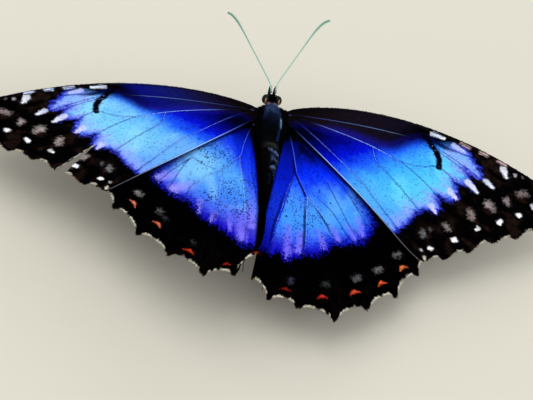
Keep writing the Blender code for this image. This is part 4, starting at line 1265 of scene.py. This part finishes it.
def coat_depth(y):
    """How far the skin lies under the coat's tips, for y in mm."""
    places, depths = zip(*COAT_DEPTHS)
    return np.interp(y, places, depths) * MM


def segment_phase(y):
    """How far through its abdominal segment a place is, for y in mm."""
    return ((ABDOMEN_START - y) / SEGMENT_LENGTH) % 1


def body_paint(y, angle):
    """Near black, blue-grey collar fading backwards, painted highlights on the right, painted shade on the
    left; y in mm.
    """
    up, right = np.sin(angle), np.cos(angle)
    mottle = rough_noise(angle * 3, y * 0.9, 401)
    rgb = ramp(mottle, ((0.2, "#020303"), (0.55, "#040406"), (0.85, "#07080C")))
    rgb = lay(rgb, smooth(-0.15, -0.7, up), ramp(mottle, ((0.2, "#1A120C"), (0.8, "#33261A"))))
    # thorax
    back = band(y, -4.4, -3.4, 4.7, 5.3)
    crown = smooth(0.50, 0.80, up + 0.10 * right)
    patchy = smooth(0.32, 0.62, rough_noise(angle * 5, y * 1.1, 407))
    collar = ramp(y + 1.6 * (rough_noise(angle * 4, y * 0.7, 411) - 0.5), COLLAR_RAMP)
    rgb = lay(rgb, back * crown * (0.35 + 0.65 * patchy), collar)
    # a painted sheen and a painted highlight down the thorax's right side
    rim = hump(right - 0.66, 0.10) * smooth(2.5, 1.0, y) * back * smooth(0.2, 0.5, up)
    rgb = lay(rgb, rim * 0.75, "#20386C")
    thorax_highlight = hump(right - 0.72 + 0.03 * y, 0.06) * smooth(1.9, 1.0, y) * smooth(-0.9, 0.0, y)
    rgb = lay(rgb, thorax_highlight * smooth(0.2, 0.4, up), "#A4C8F4")
    neck = band(y, 4.85, 5.05, 5.25, 5.45) * smooth(0.0, 0.4, up)
    pale = ramp(right, ((-0.6, "#A490AC"), (0.0, "#5C6888"), (0.7, "#8894B4")))
    rgb = lay(rgb, neck * (0.3 + 0.6 * patchy), pale)
    # abdomen: painted highlights in pale arcs and flecks on the right flank, painted shade on the left
    side = smooth(-0.45, 0.15, up) * smooth(-0.05, 0.35, right)
    first = hump(y + 4.95 + 0.5 * right ** 2, 0.16) * smooth(-0.8, -0.3, right) * smooth(0.1, 0.4, up)
    rgb = lay(rgb, first * 0.8, "#3C4644")
    # painted highlights on the right flank: a pale arc, then blue flecks and arcs along the segments
    second = hump(y + 6.15 + 0.80 * smooth(-0.1, 0.95, right), 0.24) * smooth(-0.30, 0.10, right)
    rgb = lay(rgb, np.minimum(second * smooth(-0.45, 0.1, up) * (0.8 + 0.6 * mottle), 1), "#88A8E8")
    phase = segment_phase(y)
    flecks = rough_noise(angle * 4.5, y * 1.6, 433)
    lit_flank = side * smooth(-6.9, -7.6, y) * smooth(-14.5, -11.0, y)
    rgb = lay(rgb, lit_flank * smooth(0.40, 0.62, flecks), "#2E4070")
    arc = band(phase, 0.66, 0.78, 0.90, 1.0)
    rgb = lay(rgb, lit_flank * arc * smooth(0.40, 0.60, flecks) * 0.9, "#8098CC")
    # painted shade over the abdomen's left side
    abdomen_left_shade = smooth(-4.6, -5.2, y) * smooth(0.2, -0.3, right)
    return lay(rgb, abdomen_left_shade * smooth(-0.3, 0.1, up) * 0.6, "#070305")


def body_skin(body):
    """One closed skin over head, thorax and abdomen, from the nose backwards."""
    y = np.linspace(body.nose, body.tail, BODY_RINGS)
    angle = np.linspace(0, 2 * math.pi, BODY_SIDES, endpoint=False)
    y, angle = (grid.ravel() for grid in np.meshgrid(y, angle, indexing="ij"))
    phase = segment_phase(y / MM)
    groove = GROOVE_DEPTH * hump(np.minimum(phase, 1 - phase), 0.09) * smooth(-4.9, -5.6, y / MM)
    verts = body.surface(y, angle, -coat_depth(y / MM) - groove)
    verts = np.concatenate([verts, [verts[:BODY_SIDES].mean(0)], [verts[-BODY_SIDES:].mean(0)]])
    # the rings run backwards, so the faces are turned over to point outward
    faces = [block[:, ::-1] for block in closed_faces(BODY_RINGS, BODY_SIDES)]
    unwrap = np.concatenate([body.unwrap(y, angle), [(0.5, 0.99)], [(0.5, 0.01)]])
    paint = np.concatenate([body_paint(y / MM, angle), np.broadcast_to(colour("#060609"), (2, 3))])
    piece = Piece()
    piece.add(verts, faces, paint * SKIN_SHADE, 0.3, unwrap)
    return piece


def coat(body, zone, number, length, radius, bend, wander, tint_spread):
    """Hair on the body between two places along it, lying backwards; sizes in mm."""
    y = rng.uniform(zone[0], zone[1], number) * MM
    angle = rng.uniform(0, 2 * math.pi, number)
    _, half, _, _ = body.ring(y)
    keep = rng.random(number) < np.clip(half / (2.0 * MM), 0.25, 1)
    y, angle = y[keep], angle[keep]
    roots = body.surface(y, angle, -coat_depth(y / MM))
    folded = np.column_stack([np.abs(roots[:, 0]), roots[:, 1:]])      # both sides' roots on the right
    from_eye = folded - np.array(EYE_CENTRE)
    clear = np.linalg.norm(from_eye / np.array(EYE_RADII), axis=1) > 1.08
    y, angle, roots = y[clear], angle[clear], roots[clear]
    out = body.normal(y, angle)
    back = unit(body.point(y - 0.05 * MM, angle) - body.point(y + 0.05 * MM, angle))
    number = len(y)
    lie = unit(back + np.cross(out, back) * rng.normal(0, wander, number)[:, None])
    lengths = rng.uniform(*length, number) * MM
    bends = rng.uniform(*bend, number)
    tint = body_paint(y / MM, angle) * rng.uniform(1 - tint_spread, 1 + tint_spread, number)[:, None]
    piece = Piece()
    piece.add_tufts(roots, lie, out, lengths, radius * MM, bends, tint, 0.6, body.unwrap(y, angle))
    return piece


def ball(centre, radii, rings=20, sides=28):
    """An egg-shaped closed mesh: its corners and faces."""
    down = np.linspace(0, math.pi, rings + 2)[1:-1]
    turn = np.linspace(0, 2 * math.pi, sides, endpoint=False)
    down, turn = (grid.ravel() for grid in np.meshgrid(down, turn, indexing="ij"))
    ways = np.stack([np.sin(down) * np.cos(turn), np.sin(down) * np.sin(turn), np.cos(down)], 1)
    ways = np.concatenate([ways, [(0, 0, 1)], [(0, 0, -1)]])
    return np.array(centre) + ways * np.array(radii), closed_faces(rings, sides)


def shoulder(side, hair):
    """The ridge that carries a side's wings and the lobe over the forewing's root; hair takes the tufts."""
    mirror = np.array((SIDES[side], 1, 1))
    half = (0.0, 0.0) if side == "right" else (0.5, 0.0)       # of the tufts' unwrap
    ridge = smooth_path(SHOULDER_RIDGE, 8) * MM
    lobe, lobe_radii = np.array(TEGULA_CENTRE) * mirror * MM, np.array(TEGULA_RADII) * MM
    piece = Piece()
    piece.add(*tube(ridge[:, :3] * mirror, ridge[:, 3], sides=24, flatten=0.8), colour("#050507"), 0.2)
    piece.add(*ball(lobe, lobe_radii), colour("#060609"), 0.3)
    for place, radii in HINGE_KNOBS[side]:
        piece.add(*ball(np.array(place) * mirror * MM, np.array(radii) * MM, 12, 16), colour("#262444"), 0.1)
    # tufts on the ridge
    number = RIDGE_HAIRS
    at = rng.uniform(0, len(ridge) - 1.001, number)
    centre, _ = along_path(ridge, at)
    turn = rng.uniform(0, 2 * math.pi, number)
    out = unit(np.stack([np.cos(turn), np.zeros(number), 0.8 * np.sin(turn)], 1))
    roots = centre[:, :3] + out * centre[:, 3:] * (1, 1, 0.8)
    sweep = np.stack([0.75 + rng.normal(0, 0.25, number), -0.65 + rng.normal(0, 0.25, number),
                      rng.normal(0, 0.1, number)], 1)
    lie = unit(sweep - out * (sweep * out).sum(1, keepdims=True) + 1e-9)
    tint = colour("#040507") * rng.uniform(0.6, 1.8, number)[:, None]
    ahead = smooth(2.2, 3.6, centre[:, 1] / MM)
    tint = lay(tint, ahead * rng.random(number), "#0C2438")
    unwrap = np.stack([0.05 + 0.4 * at / len(ridge), 0.05 + 0.9 * turn / (2 * math.pi)], 1)
    length = rng.uniform(0.7, 1.25, number) * MM
    bend = rng.uniform(0.05, 0.3, number)
    hair.add_tufts(roots * mirror, lie * mirror, out * mirror, length, 0.035 * MM, bend, tint, 0.5,
                   unwrap + half)
    # tufts on the lobe
    number = LOBE_HAIRS
    way = unit(rng.normal(size=(number, 3)) + (0, 0, 0.35))
    sweep = np.array((0.35, -1.0, -0.1)) * mirror + rng.normal(0, 0.15, (number, 3))
    lie = unit(sweep - way * (sweep * way).sum(1, keepdims=True))
    tint = colour("#040507") * rng.uniform(0.6, 1.8, number)[:, None]
    bearing = np.arctan2(way[:, 1], way[:, 0] * SIDES[side])
    unwrap = np.stack([0.05 + 0.4 * bearing / 7 + 0.2, 0.5 + 0.45 * way[:, 2]], 1)
    length = rng.uniform(0.45, 0.8, number) * MM
    bend = rng.uniform(0.02, 0.15, number)
    hair.add_tufts(lobe + way * lobe_radii, lie, way, length, 0.032 * MM, bend, tint, 0.5, unwrap + half)
    return piece


def make_body(skin_finish, hair_finish, place):
    body = Body()
    body_skin(body).make("body_skin", skin_finish, "body", place, ("head", "thorax", "abdomen"), BODY_UNWRAP)
    for name, *dress in COATS:
        coat(body, *dress).make(name, hair_finish, "body", place)
    hair = Piece()
    for side in SIDES:
        shoulder(side, hair).make("shoulder_" + side, skin_finish, "body", place)
    hair.make("shoulder_hair", hair_finish, "body", place)


# ---------------------------------------------------------------- head

def faceted_eye(sign):
    """A compound eye: each facet is a low bump round one corner of a coarser ball."""
    build = bmesh.new()
    bmesh.ops.create_icosphere(build, subdivisions=EYE_FINENESS - 1, radius=1.0)
    coarse = {tuple(np.round(vert.co, 4)) for vert in build.verts}
    build.clear()
    bmesh.ops.create_icosphere(build, subdivisions=EYE_FINENESS, radius=1.0)
    ways = np.array([vert.co for vert in build.verts])
    faces = np.array([[vert.index for vert in face.verts] for face in build.faces])
    build.free()
    raised = np.array([tuple(np.round(way, 4)) in coarse for way in ways])
    verts = np.array(EYE_CENTRE) * (sign, 1, 1) + ways * np.array(EYE_RADII) * 0.985
    verts = verts + ways * (raised * FACET_RISE)[:, None]
    inward, back, up = -ways[:, 0] * sign, -ways[:, 1], ways[:, 2]
    rgb = ramp(noise(up * 3 + 7, back * 3 + 7, 501), ((0.2, "#030508"), (0.8, "#060B16")))
    # painted light on the back of each eye: an orange glow, and a cream highlight on its outer side
    behind = smooth(0.05, 0.25, back) * smooth(-0.35, 0.05, up) * smooth(0.97, 0.75, up)
    painted_glow = hump(inward, 0.15) * behind
    rgb = lay(rgb, painted_glow * 0.95, ramp(inward, ((-0.1, "#A04A0C"), (0.12, "#5A1204"))))
    rgb = lay(rgb, hump(inward + 0.26, 0.085) * behind, "#E8D698")
    # the low corners between the facets are painted darker, as shade
    tint = np.where(raised[:, None], rgb, rgb * 0.7)
    piece = Piece()
    piece.add(verts, [faces], tint, 1.0)
    return piece


def antenna(side, sign):
    """A ringed feeler that swells into a slender club."""
    steps = 360
    t = np.linspace(0, 1, steps + 1)
    toe_in = ANTENNA_TOE_IN * np.maximum(0, 1 - t / TOE_IN_SHARE)
    spread = ANTENNA_SPREAD[side] - toe_in + ANTENNA_CURL * t ** CURL_EXPONENT
    level = math.cos(ANTENNA_RAISE)
    heading = np.stack([sign * np.sin(spread) * level, np.cos(spread) * level,
                        np.full(steps + 1, math.sin(ANTENNA_RAISE))], 1)
    root = np.array(ANTENNA_ROOT) * (sign, 1, 1)
    path = root + np.concatenate([np.zeros((1, 3)), np.cumsum(heading[:-1], 0)]) * ANTENNA_LENGTH / steps
    swell = np.sin(math.pi * np.maximum(0, (t - CLUB_START) / (1 - CLUB_START)) * CLUB_TAPER)
    ring = np.abs(np.sin(math.pi * t * ANTENNA_SEGMENTS))
    radius = ANTENNA_FINE_RADIUS + (CLUB_FINE_RADIUS - ANTENNA_FINE_RADIUS) * swell
    radius = radius * (0.84 + 0.16 * ring ** 0.5)
    radius[:4] *= (1.5, 1.6, 1.5, 1.3)
    sides = 14
    verts, faces = tube(path, radius, sides)
    shade = np.concatenate([np.repeat(np.stack([t, ring], 1), sides, axis=0), [(0, 1), (1, 1)]])
    tint = ramp(shade[:, 0], ANTENNA_RAMP)
    piece = Piece()
    piece.add(verts, faces, tint * (0.55 + 0.45 * smooth(0.0, 0.5, shade[:, 1]))[:, None], 0.5)
    return piece


def scaled_tube(path, radii, number, length, hair_radius, bend, tint):
    """A thin limb with tufts that lie along it towards its end: the limb's piece and the tufts' piece."""
    verts, faces = tube(path, radii, sides=16)
    limb, hair = Piece(), Piece()
    limb.add(verts, faces, tint(verts) * 0.85, 0.3)
    at = rng.uniform(0.2, len(path) - 1.3, number)
    centre, low = along_path(path, at)
    radius = np.interp(at, np.arange(len(path)), radii)
    along = unit(path[low + 1] - path[low])
    side = unit(np.cross(along, (0.31, 0.17, 0.93)))
    turn = rng.uniform(0, 2 * math.pi, number)
    out = side * np.cos(turn)[:, None] + np.cross(along, side) * np.sin(turn)[:, None]
    roots = centre + out * (radius * 0.9)[:, None]
    unwrap = np.stack([0.05 + 0.9 * turn / (2 * math.pi), 0.05 + 0.9 * at / len(path)], 1)
    lengths = rng.uniform(*length, number) * MM
    bends = rng.uniform(*bend, number)
    shade = tint(roots) * rng.uniform(0.6, 1.5, number)[:, None]
    hair.add_tufts(roots, unit(along + out * 0.05), out, lengths, hair_radius * MM, bends, shade, 0.3, unwrap)
    return limb, hair


def palp(sign):
    """A palp that curves up before the face, dark blue between a brown root and a greenish tip."""
    corners = smooth_path(PALP_PATH, 8) * MM
    path = corners[:, :3] * (sign, 1, 1)

    def tint(place):
        rise = place[:, 2] / MM
        return ramp(rise, ((-1.2, "#3A2E26"), (-0.3, "#0C1630"), (0.7, "#061434"), (1.2, "#1C5064")))
    return scaled_tube(path, corners[:, 3] * 0.72, 520, (0.25, 0.42), 0.028, (0.05, 0.30), tint)


def proboscis():
    """The coiled tongue, ridged across."""
    outer, inner, turns = PROBOSCIS_COIL
    t = np.linspace(0, 1, 420)
    angle = PROBOSCIS_START - 2 * math.pi * turns * t
    radius = outer + (inner - outer) * t
    path = np.array(PROBOSCIS_CENTRE) + np.stack([0 * t, np.cos(angle), np.sin(angle)], 1) * radius[:, None]
    ridge = np.abs(np.sin(math.pi * t * PROBOSCIS_RIDGES))
    sides = 14
    verts, faces = tube(path, PROBOSCIS_RADIUS * (0.86 - 0.22 * t) * (0.90 + 0.10 * ridge), sides)
    piece = Piece()
    shade = np.concatenate([np.repeat(ridge, sides), (1, 1)])
    piece.add(verts, faces, ramp(shade, ((0.0, "#1A100A"), (0.6, "#5A3A20"), (1.0, "#7A5430"))), 0.6)
    return piece


def make_head(eye_finish, horn_finish, hair_finish, place):
    for side, sign in SIDES.items():
        faceted_eye(sign).make("eye_" + side + "_facets", eye_finish, "eye", place, ("eye_" + side,))
        feeler = "antenna_" + side
        antenna(side, sign).make(feeler + "_ringed", horn_finish, "feeler", place, (feeler,))
        limb, hair = palp(sign)
        limb.make("palp_" + side + "_core", horn_finish, "body", place, ("palp_" + side,))
        hair.make("palp_" + side + "_scales", hair_finish, "body", place)
    proboscis().make("proboscis_coil", horn_finish, "feeler", place, ("proboscis",))


# ---------------------------------------------------------------- legs

def leg_tint(place):
    """Dark brown, mottled."""
    mottle = noise(place[:, 0] / MM * 2 + 50, place[:, 1] / MM * 2 + 50, 601)
    return ramp(mottle, ((0.2, "#120B07"), (0.6, "#24170E"), (0.9, "#3C2A1A")))


def make_leg(name, side, sign, horn_finish, hair_finish, place):
    """Thigh, shin and jointed foot, with spines below and two claws; on the surface that it stands on."""
    x, y, z = LEG_HIPS[name]
    hip = place[:3, :3] @ (np.array((sign * x, y, z)) * MM) + place[:3, 3]
    joints = np.array(LEG_JOINTS[name]) * (sign, 1, 1) * MM + (BODY_CENTRE.x, BODY_CENTRE.y, 0)
    corners = np.column_stack([np.vstack([hip, joints]), np.array(LEG_RADII) * MM])
    fine = smooth_path(corners, 28)
    path, radii = fine[:, :3], fine[:, 3]
    at = np.linspace(0, len(corners) - 1, len(path))
    slim = np.interp(at, *zip(*LEG_SLIM))
    knots = 1 - 0.22 * hump((at - 2) * FOOT_JOINTS / 2 % 1 - 0.5, 0.10) * (at > 2.1)
    radii = radii * slim * knots
    standing = path[:, 2] < 1.2 * MM
    path[:, 2] = np.where(standing, np.maximum(path[:, 2], radii * 0.98), path[:, 2])
    limb, hair = scaled_tube(path, radii, 1500, (0.22, 0.42), 0.026, (0.02, 0.25), leg_tint)
    # two rows of spines under the shin and foot
    rows = np.linspace(1.15, 3.7, 26)
    centre = np.stack([np.interp(rows, at, path[:, k]) for k in range(3)], 1)
    heading = unit(np.stack([np.interp(rows + 0.05, at, path[:, k]) for k in range(3)], 1) - centre)
    flank = unit(np.cross(heading, (0, 0, 1)))
    thick = np.interp(rows, at, radii)[:, None]
    for hand in (-1, 1):
        out = unit(flank * hand - np.array((0, 0, 0.5)) * smooth(3.0, 1.5, rows)[:, None])
        limb.add_tufts(centre + out * thick * 0.7, unit(heading + out * 0.5), out, 0.42 * MM, 0.030 * MM, 0.1,
                       colour("#0E0906"), 0.6)
    # claws
    ahead = unit(path[-1] - path[-6])
    flank = unit(np.cross(ahead, (0.0, 0.0, 1.0)))
    for hand in (-1, 1):
        t = np.linspace(0, 1, 9)[:, None]
        hook = path[-1] + ahead * (0.05 + 0.42 * t) * MM + flank * hand * (0.06 + 0.22 * t) * MM
        hook = hook + np.array((0, 0, 1)) * (0.10 * np.sin(math.pi * t) - 0.08 * t) * MM
        thickness = np.interp(t[:, 0], (0, 1), (0.075, 0.018)) * MM
        limb.add(*tube(hook, thickness, sides=8), colour("#0A0604"), 1.0)
    # nothing goes below the floor
    for piece in (limb, hair):
        for block in piece.verts:
            block[:, 2] = np.maximum(block[:, 2], FLOOR_GAP)
    limb.make(name + "_" + side + "_limb", horn_finish, "leg", None, (name + "_" + side,))
    hair.make(name + "_" + side + "_scales", hair_finish, "leg")


def make_legs(horn_finish, hair_finish, place):
    for side, sign in SIDES.items():
        for name in LEG_HIPS:
            make_leg(name, side, sign, horn_finish, hair_finish, place)
        corners = smooth_path(FORELEG_PATH, 10) * MM
        path = corners[:, :3] * (sign, 1, 1)
        limb, hair = scaled_tube(path, corners[:, 3] * 0.62, 900, (0.25, 0.60), 0.026, (0.10, 0.45), leg_tint)
        limb.make("foreleg_" + side + "_limb", horn_finish, "leg", place, ("foreleg_" + side,))
        hair.make("foreleg_" + side + "_brush", hair_finish, "leg", place)


# ---------------------------------------------------------------- stage

def plain(name, tint, roughness, specular=0.3):
    made = bpy.data.materials.new(name)
    made.use_nodes = True
    shader = made.node_tree.nodes["Principled BSDF"]
    shader.inputs["Base Color"].default_value = (*colour(tint), 1)
    shader.inputs["Roughness"].default_value = roughness
    shader.inputs["Specular IOR Level"].default_value = specular
    return made


def area_light(name, place, target, size, power, tint=(1, 1, 1)):
    light = bpy.data.lights.new(name, "AREA")
    light.shape = "DISK"
    light.size = size
    light.energy = power
    light.color = tint
    made = bpy.data.objects.new(name, light)
    made.location = place
    made.rotation_euler = (Vector(target) - Vector(place)).to_track_quat("-Z", "Y").to_euler()
    bpy.context.scene.collection.objects.link(made)


def make_stage():
    scene = bpy.context.scene
    scene.view_settings.view_transform = "Standard"
    world = bpy.data.worlds.new("studio")
    world.use_nodes = True
    world.node_tree.nodes["Background"].inputs["Color"].default_value = (0.96, 0.98, 1.0, 1)
    world.node_tree.nodes["Background"].inputs["Strength"].default_value = 0.80
    scene.world = world
    mesh = bpy.data.meshes.new("floor")
    corners = [(FLOOR_HALF * x, FLOOR_HALF * y, 0) for x, y in ((-1, -1), (1, -1), (1, 1), (-1, 1))]
    mesh.from_pydata(corners, [], [(0, 1, 2, 3)])
    mesh.materials.append(plain("floor", "#C9C5B8", 0.9, 0.05))
    floor = bpy.data.objects.new("floor", mesh)
    scene.collection.objects.link(floor)
    area_light("key", (-0.25, 0.10, 0.75), (0, 0, 0), 0.80, 3.2, (1.0, 0.99, 0.96))
    area_light("fill", (0.55, -0.45, 0.50), (0, 0, 0), 0.60, 1.5, (0.93, 0.97, 1.0))
    area_light("back", (0.10, 0.70, 0.35), (0, 0, 0), 0.40, 1.2)


def make_camera():
    camera = bpy.data.cameras.new("camera")
    camera.lens = CAMERA_LENS
    camera.clip_start = 0.01
    made = bpy.data.objects.new("camera", camera)
    back = Vector((math.sin(CAMERA_AZIMUTH) * math.cos(CAMERA_ELEVATION),
                   -math.cos(CAMERA_AZIMUTH) * math.cos(CAMERA_ELEVATION), math.sin(CAMERA_ELEVATION)))
    turn = back.to_track_quat("Z", "Y").to_matrix().to_4x4() @ Matrix.Rotation(CAMERA_ROLL, 4, "Z")
    made.matrix_world = Matrix.Translation(CAMERA_TARGET + back * CAMERA_DISTANCE) @ turn
    bpy.context.scene.collection.objects.link(made)
    bpy.context.scene.camera = made


def main():
    make_stage()
    make_camera()
    scales = painted("wing_scales", (0.70, 0.45), (0.0, 0.08), 0.0, 9000, 0.00002, variation=0.08)
    skin = painted("wing_skin", (0.80, 0.50), (0.0, 0.05), 0.0, 6000, 0.00002)
    veins = painted("wing_veins", (0.60, 0.50), (0.0, 0.0), 0.02, 7000, 0.00002)
    make_wings(scales, skin, veins)
    hide = painted("body_skin", (0.75, 0.60), (0.0, 0.0), 0.02, 3000, 0.00003)
    hair = painted("body_hair", (0.70, 0.55), (0.0, 0.0), 0.03, 6000, 0.00001, variation=0.2)
    horn = painted("horn", (0.50, 0.30), (0.0, 0.0), 0.40, 5000, 0.00001)
    glass = painted("eye", (0.40, 0.25), (0.0, 0.0), 0.10, 2500, 0.000002, variation=0.15)
    place = np.array(body_frame())
    make_body(hide, hair, place)
    make_head(glass, horn, hair, place)
    make_legs(horn, hair, place)


main()
